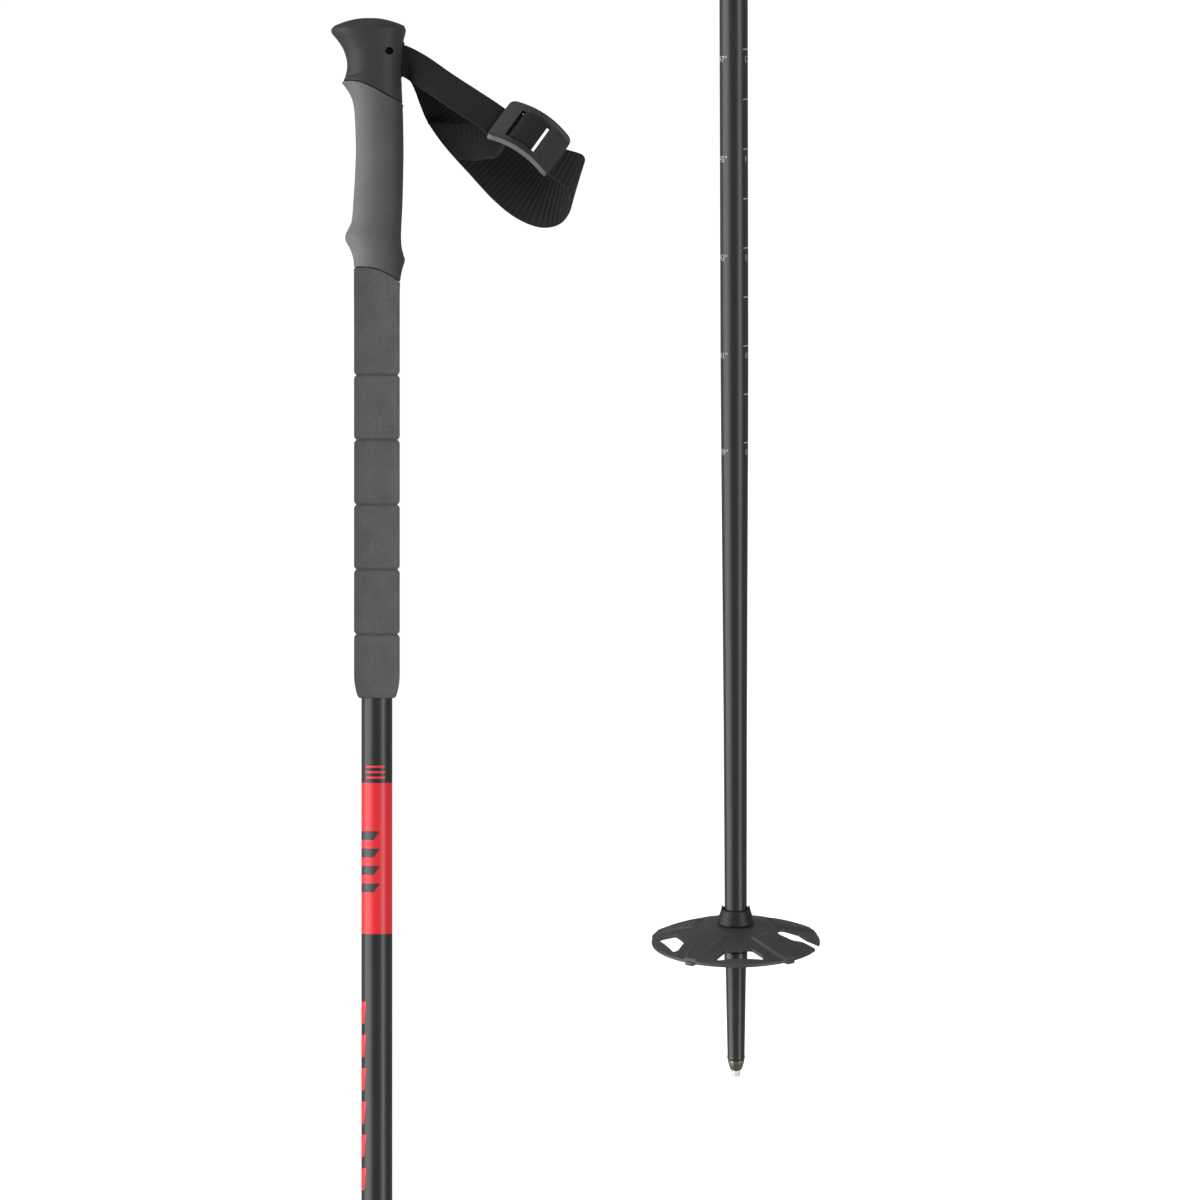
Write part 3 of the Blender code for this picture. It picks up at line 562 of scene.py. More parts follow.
def polished(node, body, material, width, degrees=38):
    """A copy of a hard CAD piece with its flat faces whole and its sharp edges rounded."""
    made = frame["nodes"][node].copy()
    made.data = made.data.copy()
    made.name = node + "_finished"
    made.parent = None
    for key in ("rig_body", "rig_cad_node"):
        if key in made:
            del made[key]
    bpy.context.scene.collection.objects.link(made)
    work = bmesh.new()
    work.from_mesh(made.data)
    bmesh.ops.remove_doubles(work, verts=work.verts, dist=2e-6)
    flat = math.radians(0.6)
    bmesh.ops.dissolve_limit(work, angle_limit=flat, verts=work.verts, edges=work.edges)
    work.to_mesh(made.data)
    work.free()
    bevelled(made, width, 3, degrees)
    smooth(made.data, degrees)
    return assembled(made, body, material, node)


# ---- grip


def from_top(x, y, depth):
    """A point in metres from millimetres, its depth counted down from the pole's top."""
    return (x * MM, y * MM, POLE_TOP - depth * MM)


def section_shares(turn):
    """The grip's rounded-square section, as shares of its half depth and half width."""
    c, s = math.cos(turn), math.sin(turn)
    power = 2 / SECTION_POWER
    return math.copysign(abs(c) ** power, c), math.copysign(abs(s) ** power, s)


def slanted_edge(x, edge):
    """Depth of a slanted edge at x: level at the front, then sloping down past its knee."""
    start, knee, slope, softness = edge
    return start + slope * softness * math.log1p(math.exp((x - knee) / softness))


def station(depth):
    """Front, rear and half width at a depth, on a smooth curve through the stations."""
    last = len(GRIP_STATIONS) - 1
    i = 0
    while i < last - 1 and GRIP_STATIONS[i + 1][0] < depth:
        i += 1
    quad = [GRIP_STATIONS[min(max(k, 0), last)] for k in (i - 1, i, i + 1, i + 2)]
    span = quad[2][0] - quad[1][0]
    t = min(max((depth - quad[1][0]) / span, 0.0), 1.0)
    values = []
    for column in (1, 2, 3):
        before, here, after, beyond = (stop[column] for stop in quad)
        slope_in = (after - before) / max(quad[2][0] - quad[0][0], 1e-6) * span
        slope_out = (beyond - here) / max(quad[3][0] - quad[1][0], 1e-6) * span
        t2, t3 = t * t, t * t * t
        values.append(
            (2 * t3 - 3 * t2 + 1) * here
            + (t3 - 2 * t2 + t) * slope_in
            + (3 * t2 - 2 * t3) * after
            + (t3 - t2) * slope_out
        )
    return values


def groove(distance, width, depth):
    return -depth * math.exp(-((distance / width) ** 2))


def grip_point(depth, turn, sunk=0.0):
    """A point of the grip's outside, sunk by so much towards its middle; in metres."""
    front, rear, half_width = station(depth)
    centre = (front + rear) / 2
    x, y = section_shares(turn)
    x0 = centre + (rear - front) / 2 * x
    reach = -sunk
    # Moulded creases: under the thumb rest, and round the collar above the foam.
    if x0 < 2.0:
        reach += groove(depth - (30.0 - 0.24 * (x0 + 14.0)), 0.9, 0.35) * min(1.0, (2.0 - x0) / 6.0)
    reach += groove(depth - (118.0 + 0.33 * x0), 0.7, 0.30)
    scale_x = ((rear - front) / 2 + reach) / ((rear - front) / 2)
    scale_y = (half_width + reach) / half_width
    return Vector(from_top(centre + (rear - front) / 2 * x * scale_x, half_width * y * scale_y, depth))


def edge_depth(turn, edge):
    """Where a slanted edge crosses the grip's outside at this turn."""
    depth = edge[0]
    for _ in range(12):
        depth = slanted_edge(grip_point(depth, turn).x / MM, edge)
    return depth


def turns():
    return [TAU * k / GRIP_SIDES for k in range(GRIP_SIDES)]


def dome_rows():
    _, front, rear, half_width = GRIP_STATIONS[0]
    centre = (front + rear) / 2
    rows = []
    for share in (0.02, 0.15, 0.3, 0.42, 0.54, 0.64, 0.73, 0.81, 0.88, 0.94):
        depth = max(DOME_HEIGHT * (share**2 - DOME_START**2), 0.0)
        row = []
        for turn in turns():
            x, y = section_shares(turn)
            row.append(from_top(centre + (rear - front) / 2 * share * x, half_width * share * y, depth))
        rows.append(row)
    return rows


def side_rows(start, end, count, start_lip, end_lip):
    """Rows between two depths per turn, with rolled lips given as (inset, sink) steps."""
    rows = []
    for inset, sink in start_lip:
        rows.append([grip_point(a + inset, turn, sink) for turn, a in zip(turns(), start)])
    first = start_lip[-1][0] if start_lip else 0.0
    final = end_lip[0][0] if end_lip else 0.0
    for i in range(count + 1):
        t = i / count
        row = []
        for turn, a, b in zip(turns(), start, end):
            row.append(grip_point((a + first) * (1 - t) + (b - final) * t, turn))
        rows.append(row)
    for inset, sink in end_lip:
        rows.append([grip_point(b - inset, turn, sink) for turn, b in zip(turns(), end)])
    return rows


LIP = ((0.55, 0.02), (0.25, 0.14), (0.08, 0.35), (0.02, 0.7), (0.0, 3.0))


def make_grip(plastic, rubber, foam, steel):
    core_edge = [edge_depth(turn, CORE_EDGE) for turn in turns()]
    rubber_edge = [edge_depth(turn, RUBBER_EDGE) for turn in turns()]
    start = [GRIP_STATIONS[0][0]] * GRIP_SIDES
    gap = 0.3

    rows = dome_rows() + side_rows(start, [d - gap for d in core_edge], 70, (), LIP)
    core = closed("grip_head", rows, True, True)
    half = STRAP_THICK + 0.4
    slot_end = SLOT_TOP + SLOT_HEIGHT
    corners = [(SLOT_TOP, -half), (SLOT_TOP, half), (slot_end, half), (slot_end, -half)]
    outline = rounded_outline(corners, 1.2)
    slot_rows = [[from_top(x, y, d) for d, y in outline] for x in (SLOT_FRONT, 30.0)]
    slot = closed("slot", slot_rows, True, True)
    cut(core, slot)
    hole_rows = []
    for y in (-20.0, 20.0):
        row = []
        for k in range(32):
            turn = TAU * k / 32
            x = PIN_X + PIN_HOLE_RADIUS * math.cos(turn)
            d = PIN_DEPTH + PIN_HOLE_RADIUS * math.sin(turn)
            row.append(from_top(x, y, d))
        hole_rows.append(row)
    hole = closed("hole", hole_rows, True, True)
    cut(core, hole)
    smooth(core.data, 32)
    assembled(core, "upper_section", plastic, "grip_core")

    rim_rows = []
    for inset, rise in ((-0.8, 0.2), (-0.8, -0.35), (-0.1, -0.75), (0.6, -0.35), (0.6, 0.2)):
        row = []
        for d, y in outline:
            out_d = d - inset if d > SLOT_TOP + SLOT_HEIGHT / 2 else d + inset
            out_y = y - math.copysign(inset, y)
            x = station(d)[1] - rise - 0.012 * out_y**2
            row.append(from_top(x, out_y, out_d))
        rim_rows.append(row)
    rim = closed("slot_rim", rim_rows, closed_rows=True, degrees=60)
    assembled(rim, "upper_section", plastic)

    top_lip = ((0.0, 2.0), (0.02, 0.35), (0.15, -0.05), (0.45, -0.34), (0.9, -0.38), (1.6, -0.12))
    rows = side_rows(core_edge, [d - gap for d in rubber_edge], 120, top_lip, LIP)
    sleeve = skin("grip_sleeve", rows)
    assembled(sleeve, "upper_section", rubber, "grip_rubber")

    level = [155.0] * GRIP_SIDES
    rows = side_rows(rubber_edge, level, 24, ((0.0, 2.0), (0.05, 0.4), (0.3, 0.1), (0.8, 0.0)), ())
    heights = [(FOAM_RADIUS, 160.0)]
    for middle in FOAM_GROOVES:
        heights += [(FOAM_RADIUS - sink, middle + offset) for offset, sink in GROOVE_SECTION]
    ends = ((-12, 0.0), (-9, 0.12), (-6, 0.55), (-3, 1.2), (-1.2, 1.8), (-0.4, 2.3), (0.0, 3.0), (0.0, 3.6))
    heights += [(FOAM_RADIUS - sink, FOAM_BOTTOM + offset) for offset, sink in ends]
    for radius, depth in heights:
        rows.append([from_top(radius * math.cos(a), radius * math.sin(a), depth) for a in turns()])
    sleeve = skin("foam_grip", rows, degrees=60)
    assembled(sleeve, "upper_section", foam, "foam_sleeve")
    frame["nodes"]["strap_pin"].data.materials.clear()
    frame["nodes"]["strap_pin"].data.materials.append(steel.data)


# ---- strap


def buckle_axes():
    flat_up = Vector((-BUCKLE_ALONG.z, 0, BUCKLE_ALONG.x))
    tilted = flat_up * math.cos(BUCKLE_TILT) + Vector((0, 1, 0)) * math.sin(BUCKLE_TILT)
    across = tilted.normalized()
    return BUCKLE_ALONG, across, BUCKLE_ALONG.cross(across)


def buckle_point(along, across, height):
    """A point of the arched buckle, in millimetres along from its grip end, across and over its middle."""
    axis_u, axis_w, axis_n = buckle_axes()
    place = along - BUCKLE_LENGTH / 2
    rise = BUCKLE_ARCH * (1 - (2 * place / BUCKLE_LENGTH) ** 2) - BUCKLE_ARCH / 2
    spot = BUCKLE_CENTRE + axis_u * place + axis_w * across + axis_n * (rise + height)
    return Vector((spot.x * MM, spot.y * MM, POLE_TOP + spot.z * MM))


def in_metres(route):
    return [(Vector(from_top(x, y, depth)), Vector(width)) for x, y, depth, width in route]


def smooth_route(stops, per_span):
    padded = [stops[0]] + stops + [stops[-1]]
    route = []
    for i in range(1, len(padded) - 2):
        quad = padded[i - 1 : i + 3]
        for k in range(per_span):
            t = k / per_span
            weights = (
                -0.5 * t**3 + t**2 - 0.5 * t,
                1.5 * t**3 - 2.5 * t**2 + 1,
                -1.5 * t**3 + 2 * t**2 + 0.5 * t,
                0.5 * t**3 - 0.5 * t**2,
            )
            spot, width = Vector(), Vector()
            for weight, (place, direction) in zip(weights, quad):
                spot += weight * place
                width += weight * direction
            route.append((spot, width))
    route.append(stops[-1])
    return route


def band_section():
    """Half of the band's section goes out across one face, half comes back across the other."""
    half = STRAP_WIDTH / 2
    thick = STRAP_THICK / 2
    across = [-half + 0.5 + (2 * half - 1.0) * i / 12 for i in range(13)]
    face = [(a, -thick) for a in across]
    side = [(half - 0.12, -thick * 0.72), (half, 0.0), (half - 0.12, thick * 0.72)]
    back = [(a, thick) for a in across[::-1]]
    other = [(-a, -h) for a, h in side]
    return face + side + back + other


def band(name, stops, per_span):
    route = smooth_route(stops, per_span)
    section = band_section()
    rows, along, walked = [], [], 0.0
    for i, (spot, across) in enumerate(route):
        before = route[max(i - 1, 0)][0]
        after = route[min(i + 1, len(route) - 1)][0]
        normal = (after - before).normalized().cross(across).normalized()
        rows.append([spot + across * a * MM + normal * h * MM for a, h in section])
        if i:
            walked += (spot - route[i - 1][0]).length / MM
        along.append(walked)
    unrolled, place = [], 0.0
    for k, point in enumerate(section + section[:1]):
        if k:
            place += math.dist(point, section[k - 1])
        unrolled.append(place)
    return skin(name, rows, True, True, uvs=(unrolled, along), degrees=60)


def corner_rounded(along, across, radius):
    """Pull a point of the buckle's outline onto its rounded corner."""
    half = BUCKLE_WIDTH / 2
    inner_u = min(max(along, radius), BUCKLE_LENGTH - radius)
    inner_w = min(max(across, -half + radius), half - radius)
    reach = Vector((along - inner_u, across - inner_w))
    if reach.x == 0 or reach.y == 0:
        return along, across
    longest = max(abs(reach.x), abs(reach.y))
    reach = reach * (longest / reach.length)
    return inner_u + reach.x, inner_w + reach.y


def make_buckle(plastic):
    half, hole = BUCKLE_WIDTH / 2, WINDOW_WIDTH / 2
    stops_u = sorted(
        {round(BUCKLE_LENGTH * i / 60, 4) for i in range(61)} | {u for pair in BUCKLE_WINDOWS for u in pair}
    )
    stops_w = sorted({round(-half + BUCKLE_WIDTH * i / 40, 4) for i in range(41)} | {-hole, hole})
    work = bmesh.new()
    layer = work.loops.layers.uv.new("UVMap")
    points = {}

    def corner(u, w, side):
        key = (u, w, side)
        if key not in points:
            flat_u, flat_w = corner_rounded(u, w, 3.0)
            crown = 0.5 if abs(w) > half - 1.9 and side > 0 else 0.0
            height = side * BUCKLE_THICK / 2 + crown
            points[key] = work.verts.new(buckle_point(flat_u, flat_w, height))
        return points[key]

    def face(keys):
        made = work.faces.new([corner(*key) for key in keys])
        for loop, key in zip(made.loops, keys):
            loop[layer].uv = (key[0], key[1])

    def solid(i, j):
        if not (0 <= i < len(stops_u) - 1 and 0 <= j < len(stops_w) - 1):
            return False
        u = (stops_u[i] + stops_u[i + 1]) / 2
        w = (stops_w[j] + stops_w[j + 1]) / 2
        return not (abs(w) < hole and any(a < u < b for a, b in BUCKLE_WINDOWS))

    for i in range(len(stops_u) - 1):
        for j in range(len(stops_w) - 1):
            if not solid(i, j):
                continue
            u0, u1, w0, w1 = stops_u[i], stops_u[i + 1], stops_w[j], stops_w[j + 1]
            face([(u0, w0, 1), (u1, w0, 1), (u1, w1, 1), (u0, w1, 1)])
            face([(u0, w1, -1), (u1, w1, -1), (u1, w0, -1), (u0, w0, -1)])
            walls = (
                (-1, 0, (u0, w0), (u0, w1)),
                (1, 0, (u1, w1), (u1, w0)),
                (0, -1, (u1, w0), (u0, w0)),
                (0, 1, (u0, w1), (u1, w1)),
            )
            for step_i, step_j, a, b in walls:
                if not solid(i + step_i, j + step_j):
                    face([(*a, 1), (*b, 1), (*b, -1), (*a, -1)])
    bmesh.ops.recalc_face_normals(work, faces=work.faces)
    mesh = bpy.data.meshes.new("strap_slider")
    work.to_mesh(mesh)
    work.free()
    piece = link("strap_slider", mesh)
    bevelled(piece, 0.45, 3, 50)
    smooth(piece.data, 40)
    assembled(piece, "strap", plastic, "strap_buckle")


def make_strap(fine, ribbed, plastic):
    _, across, _ = buckle_axes()
    front = in_metres(FRONT_ROUTE)
    front += [(buckle_point(along, 0, height), across * share) for along, height, share in FRONT_THREAD]
    front += in_metres(TAIL_ROUTE)
    piece = band("front_webbing", front, 10)
    assembled(piece, None, fine, "strap_front_band", "strap_end")
    loop = in_metres(LOOP_ROUTE)
    loop += [(buckle_point(along, 0, height), across * share) for along, height, share in LOOP_THREAD]
    loop_piece = band("loop_webbing", loop, 10)
    assembled(loop_piece, None, ribbed, "strap_loop_band")
    for made in (piece, loop_piece):
        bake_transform(made)
    make_buckle(plastic)


# ---- shafts, marks and printing


def lower_radius(height):
    """Radius of the lower shaft at this height, in millimetres."""
    for (r0, z0), (r1, z1) in zip(LOWER_PROFILE, LOWER_PROFILE[1:]):
        if height <= z1:
            return r0 + (r1 - r0) * (height - z0) / (z1 - z0)
    return LOWER_PROFILE[-1][0]


def make_shafts(paint):
    bore = UPPER_RADIUS - 0.7
    outside = [(UPPER_RADIUS, 592.6), (UPPER_RADIUS, 777.0), (UPPER_RADIUS, 1216.0)]
    outline = [(UPPER_RADIUS - 0.3, 592.3)] + outside + [(bore, 1216.0), (bore, 592.3)]
    upper = lathe("upper_tube", outline)
    assembled(upper, "upper_section", paint, "upper_shaft")
    outside = [(lower_radius(z), z) for z in range(70, 831, 8)]
    outline = outside + [(lower_radius(z) - 0.75, z) for z in range(830, 69, -40)]
    lower = lathe("lower_tube", outline)
    assembled(lower, "lower_section", paint, "lower_shaft")


def wrapped(name, flat, radius, body, ink):
    """Lay a flat mesh of (arc, height) in millimetres on a tube; arc 0 faces the front."""
    work = bmesh.new()
    work.from_mesh(flat)
    low = min(v.co.x for v in work.verts)
    high = max(v.co.x for v in work.verts)
    place = math.ceil(low / 0.6) * 0.6
    while place < high:
        geometry = work.verts[:] + work.edges[:] + work.faces[:]
        bmesh.ops.bisect_plane(work, geom=geometry, plane_co=(place, 0, 0), plane_no=(1, 0, 0))
        place += 0.6
    for vert in work.verts:
        arc, height = vert.co.x, vert.co.y
        reach = radius(height) + 0.05
        turn = arc / reach
        vert.co = (reach * math.sin(turn) * MM, -reach * math.cos(turn) * MM, height * MM)
    bmesh.ops.recalc_face_normals(work, faces=work.faces)
    for face in work.faces:
        middle = face.calc_center_median()
        if face.normal.dot(Vector((middle.x, middle.y, 0))) < 0:
            face.normal_flip()
    mesh = bpy.data.meshes.new(name)
    work.to_mesh(mesh)
    work.free()
    mesh.shade_smooth()
    return assembled(link(name, mesh), body, ink)


def flat_shapes(shapes):
    points, faces = [], []
    for shape in shapes:
        faces.append(tuple(range(len(points), len(points) + len(shape))))
        points += [(arc, height, 0) for arc, height in shape]
    mesh = bpy.data.meshes.new("flat")
    mesh.from_pydata(points, [], faces)
    return mesh


def bar(low_arc, high_arc, low, high, slant=0.0):
    return [(low_arc, low), (high_arc, low), (high_arc + slant, high), (low_arc + slant, high)]


def flat_text(words, size):
    """Flat meshes of (text, arc, height, alignment) in one mesh."""
    parts = []
    for text, arc, height, align in words:
        curve = bpy.data.curves.new("text", "FONT")
        curve.body = text
        curve.size = size
        curve.align_x = align
        curve.align_y = "CENTER"
        curve.resolution_u = 3
        holder = link("text", curve)
        graph = bpy.context.evaluated_depsgraph_get()
        mesh = bpy.data.meshes.new_from_object(holder.evaluated_get(graph))
        for vert in mesh.vertices:
            vert.co = (vert.co.x + arc, vert.co.y + height, 0)
        parts.append(mesh)
        bpy.data.objects.remove(holder)
    work = bmesh.new()
    for mesh in parts:
        work.from_mesh(mesh)
    joined = bpy.data.meshes.new("flat_text")
    work.to_mesh(joined)
    work.free()
    return joined


def make_printing(white, red, black):
    def upper(height):
        return UPPER_RADIUS

    ticks, words = [], []
    for k in range(10):
        height = FIRST_TICK + TICK_PITCH * k
        ticks.append(bar(5.0, 9.4, height - 0.25, height + 0.25))
        if k % 2 == 0:
            centimetres = 100 + 5 * k // 2
            words.append((str(centimetres), 5.6, height - 5.2, "LEFT"))
            words.append((f'{round(centimetres / 2.54)}"', -3.4, height - 5.2, "RIGHT"))
    wrapped("scale_marks", flat_shapes(ticks), lower_radius, "lower_section", white)
    wrapped("scale_numbers", flat_text(words, 4.6), lower_radius, "lower_section", white)

    low, high = RED_BAND
    lines = [bar(-6.0, 4.6, high + offset, high + offset + 1.1) for offset in (2.2, 5.0, 7.8)]
    wrapped("trim_lines", flat_shapes(lines), upper, "upper_section", red)
    slashes = [bar(-14.0, -1.5, z, z + 4.6, 3.4) for z in (798.5, 807.5, 816.5, 825.5)]
    wrapped("trim_slashes", flat_shapes(slashes), upper, "upper_section", black)
    dashes = [bar(-13.2, -7.4, 644.5 + 17.2 * i, 644.5 + 17.2 * i + 11.5, 1.6) for i in range(6)]
    wrapped("trim_dashes", flat_shapes(dashes), upper, "upper_section", red)


# ---- basket


def dome(radius):
    share = max(radius - 8.0, 0) / (BASKET_RADIUS - 8.0)
    return RIM_HEIGHT + DOME_RISE * (1 - share**1.7)


def soft_step(value, low, high):
    t = min(max((value - low) / (high - low), 0.0), 1.0)
    return t * t * (3 - 2 * t)


def spoke_rise(radius, degrees):
    """Extra height of the disc's upper face: flat-topped spokes with soft sides and a raised border."""
    pitch = 360 / BASKET_SECTORS
    offset = (degrees - FIRST_WINDOW_DEG + pitch) % pitch - pitch / 2
    (r0, half0), (r1, half1) = SPOKE
    half = half0 + (half1 - half0) * (radius - r0) / (r1 - r0)
    inside = (half - abs(offset)) * math.pi / 180 * radius
    rise = 0.9 * soft_step(inside, -0.5, 0.5) + 0.35 * math.exp(-((inside - 0.9) ** 2) / 0.5)
    return rise * soft_step(radius, 19.0, 22.5) * soft_step(BASKET_RADIUS + 0.3 - radius, 0.0, 1.2)


def sector_outline(centre_deg, stops):
    def spot(radius, degrees):
        turn = math.radians(-90 + centre_deg + degrees)
        return (radius * math.cos(turn), radius * math.sin(turn))

    return [spot(r, half) for r, half in stops] + [spot(r, -half) for r, half in stops[::-1]]


def make_basket(plastic, dark):
    half = DISC_THICK / 2
    sides = 300
    top = [8.2 + (BASKET_RADIUS - 0.5 - 8.2) * i / 56 for i in range(57)]
    rows = []
    for radius in top:
        row = []
        for k in range(sides):
            degrees = 360 * k / sides
            turn = math.radians(degrees - 90)
            row.append(around(radius, turn, dome(radius) + half + spoke_rise(radius, degrees)))
        rows.append(row)
    rim = ((BASKET_RADIUS - 0.12, half - 0.2), (BASKET_RADIUS, 0.25), (BASKET_RADIUS, -0.45))
    under = [(r, -half) for r in (43.1, 41.0, 37.0, 32.0, 26.0, 20.0, 14.0, 8.2)]
    for radius, lift in (*rim, *under):
        z = dome(radius) + lift
        rows.append([around(radius, TAU * k / sides - TAU / 4, z) for k in range(sides)])
    disc = closed("basket_plate", rows, closed_rows=True, degrees=40)
    pitch = 360 / BASKET_SECTORS
    for sector in range(BASKET_SECTORS):
        centre = FIRST_WINDOW_DEG + sector * pitch
        stops = RIM_SLOT if sector == SLOT_SECTOR else WINDOW
        outline = rounded_outline(sector_outline(centre, stops), 1.1)
        cut(disc, prism_z("window", outline, 60, 95))
    smooth(disc.data, 40)
    assembled(disc, "lower_section", plastic, "basket_disc")

    for sector in range(BASKET_SECTORS):
        spoke_deg = FIRST_WINDOW_DEG + (sector + 0.5) * pitch
        outline = rounded_outline(sector_outline(spoke_deg, ((40.4, 3.2), (44.5, 3.0))), 0.5, 3)
        lug = prism_z(f"basket_lug_{sector}", outline, RIM_HEIGHT - 1.5, RIM_HEIGHT + 0.5)
        bevelled(lug, 0.3, 2, 60)
        smooth(lug.data, 40)
        assembled(lug, "lower_section", plastic)

    profile = [
        (7.8, 77.0), (7.8, 84.9), (8.2, 85.1), (9.2, 85.1), (9.45, 85.3), (9.45, 85.7), (9.3, 86.2),
        (9.0, 87.4), (8.85, 87.6), (8.7, 88.3), (7.75, 91.6), (7.5, 92.2), (7.2, 92.6), (6.9, 92.8),
        (6.35, 92.8), (6.2, 92.6), (6.2, 77.0),
    ]
    hub = lathe("basket_collar", profile, 96, 28)
    assembled(hub, "lower_section", dark, "basket_hub")
    for name, side in (("left", -1), ("right", 1)):
        section = ((6.25, 91.2), (7.6, 91.4), (7.3, 93.2), (6.9, 94.3), (6.4, 93.6))
        outline = rounded_outline([(side * x, z) for x, z in section], 0.4, 3)
        ear_rows = [[(x * MM, y * MM, z * MM) for x, z in outline] for y in (-1.7, -1.4, 1.4, 1.7)]
        ear = closed(f"collar_catch_{name}", ear_rows, True, True, degrees=35)
        assembled(ear, "lower_section", dark)


def make_tip(plastic, olive, carbide):
    profile = [
        (4.42, 10.2), (4.5, 10.0), (4.62, 10.4), (4.62, 11.0), (4.5, 11.6), (4.47, 12.4), (5.28, 59.6),
        (5.36, 60.6), (5.47, 63.4), (5.6, 64.1), (5.85, 64.4), (5.98, 64.7), (5.98, 69.2), (5.8, 69.65),
        (4.55, 69.7), (4.45, 110.0), (2.9, 110.0), (2.9, 10.2),
    ]
    ferrule = lathe("tip_ferrule", profile, 96, 30)
    assembled(ferrule, "lower_section", plastic, "ferrule")
    polished("tip_holder", "lower_section", olive, 0.18, 25)
    rows = []
    for radius, height, flute in TIP_RINGS:
        row = []
        for k in range(64):
            turn = TAU * k / 64
            drop = max(0.0, flute * (0.5 - 0.5 * math.cos(TIP_FLUTES * turn)))
            row.append(around(radius, turn, height + drop * 0.7))
        rows.append(row)
    point = closed("tip_point", rows, True, True, degrees=35)
    assembled(point, "lower_section", carbide, "carbide_tip")


# ---- studio


def area_light(name, place, aim, size, power):
    data = bpy.data.lights.new(name, "AREA")
    data.shape = "RECTANGLE"
    data.size, data.size_y = size
    data.energy = power
    made = bpy.data.objects.new(name, data)
    bpy.context.scene.collection.objects.link(made)
    made.location = place
    made.rotation_euler = (Vector(aim) - Vector(place)).to_track_quat("-Z", "Y").to_euler()
    made.visible_camera = False


WHITE = 1.05


def make_studio():
    """A white cove: the camera sees white all round, and the world lights the pole only faintly."""
    scene = bpy.context.scene
    scene.view_settings.view_transform = "Standard"
    world = bpy.data.worlds.new("studio")
    scene.world = world
    world.use_nodes = True
    tree = world.node_tree
    lit = tree.nodes["Background"]
    lit.inputs["Color"].default_value = (0.06, 0.06, 0.06, 1)
    path = add_node(tree, "ShaderNodeLightPath")
    glossy = {"Value": path.outputs["Is Glossy Ray"], "To Min": 1.0, "To Max": 5.0}
    tree.links.new(add_node(tree, "ShaderNodeMapRange", glossy).outputs[0], lit.inputs["Strength"])
    seen = add_node(tree, "ShaderNodeBackground", {"Color": (1.0, 1.0, 1.0, 1), "Strength": WHITE})
    shaders = {0: path.outputs["Is Camera Ray"], 1: lit.outputs[0], 2: seen.outputs[0]}
    mix = add_node(tree, "ShaderNodeMixShader", shaders)
    tree.links.new(mix.outputs[0], tree.nodes["World Output"].inputs[0])

    area_light("left_panel", (-1.90, -0.66, 0.75), (0, 0, 0.7), (2.3, 3.4), 92)
    area_light("right_panel", (1.66, -1.46, 0.75), (0, 0, 0.7), (0.88, 3.4), 46)
    area_light("top_panel", (-0.3, -0.2, 3.2), (0, 0, 0.6), (1.6, 1.6), 10)

    mesh = bpy.data.meshes.new("floor")
    reach = 14.0
    corners = [(-reach, -reach, 0), (reach, -reach, 0), (reach, reach, 0), (-reach, reach, 0)]
    mesh.from_pydata(corners, [], [(0, 1, 2, 3)])
    floor = link("floor", mesh)
    pale = Material("floor_paint", grey(0.9), 0.9)
    tone = pale.mix(pale.noise(0.4, 3.0), grey(0.30), grey(0.33))
    pale.set("Base Color", tone)
    lift = pale.node("ShaderNodeLightPath").outputs["Is Camera Ray"]
    pale.set("Emission Color", (1.0, 1.0, 1.0, 1.0))
    pale.set("Emission Strength", pale.times(lift, WHITE))
    mesh.materials.append(pale.data)
    floor.visible_glossy = False
    floor.visible_shadow = False


FRAME_WIDTH = 0.6205
FRAME_CENTRE = Vector((0.11536, 0.0, 0.9494))
FIELD = math.radians(9.0)
LENS_GAP = 0.02


def make_camera():
    """The first view: level, square to the pole, with the grip end filling the left of the frame."""
    distance = FRAME_WIDTH / 2 / math.tan(FIELD / 2)
    data = bpy.data.cameras.new("camera")
    made = bpy.data.objects.new("camera", data)
    bpy.context.scene.collection.objects.link(made)
    bpy.context.scene.camera = made
    data.sensor_fit = "HORIZONTAL"
    data.angle = FIELD
    data.clip_start = 0.002
    data.clip_end = 60
    made.location = FRAME_CENTRE - Vector((0, distance, 0))
    made.rotation_euler = (math.pi / 2, 0, 0)
    return made


# The second view, of the basket end from a little above: focal length in frame widths, pitch, distance,
# and the height on the pole that its middle looks at.
SECOND_FOCAL = 10 / 3
SECOND_PITCH = math.radians(12.32)
SECOND_DISTANCE = 2.068
SECOND_LOOK = 0.2587
# How far right of the frame's middle the pole stands in frame widths, its lean, and how much wider the view
# is drawn.
SECOND_SHIFT = 0.1125
SECOND_LEAN = 0.00233
SECOND_WIDEN = 1.02
# The insert's edges from the frame's middle, in frame widths: its left edge, and its right, top and bottom.
INSERT_LEFT, INSERT_EDGE = 0.025, 0.51


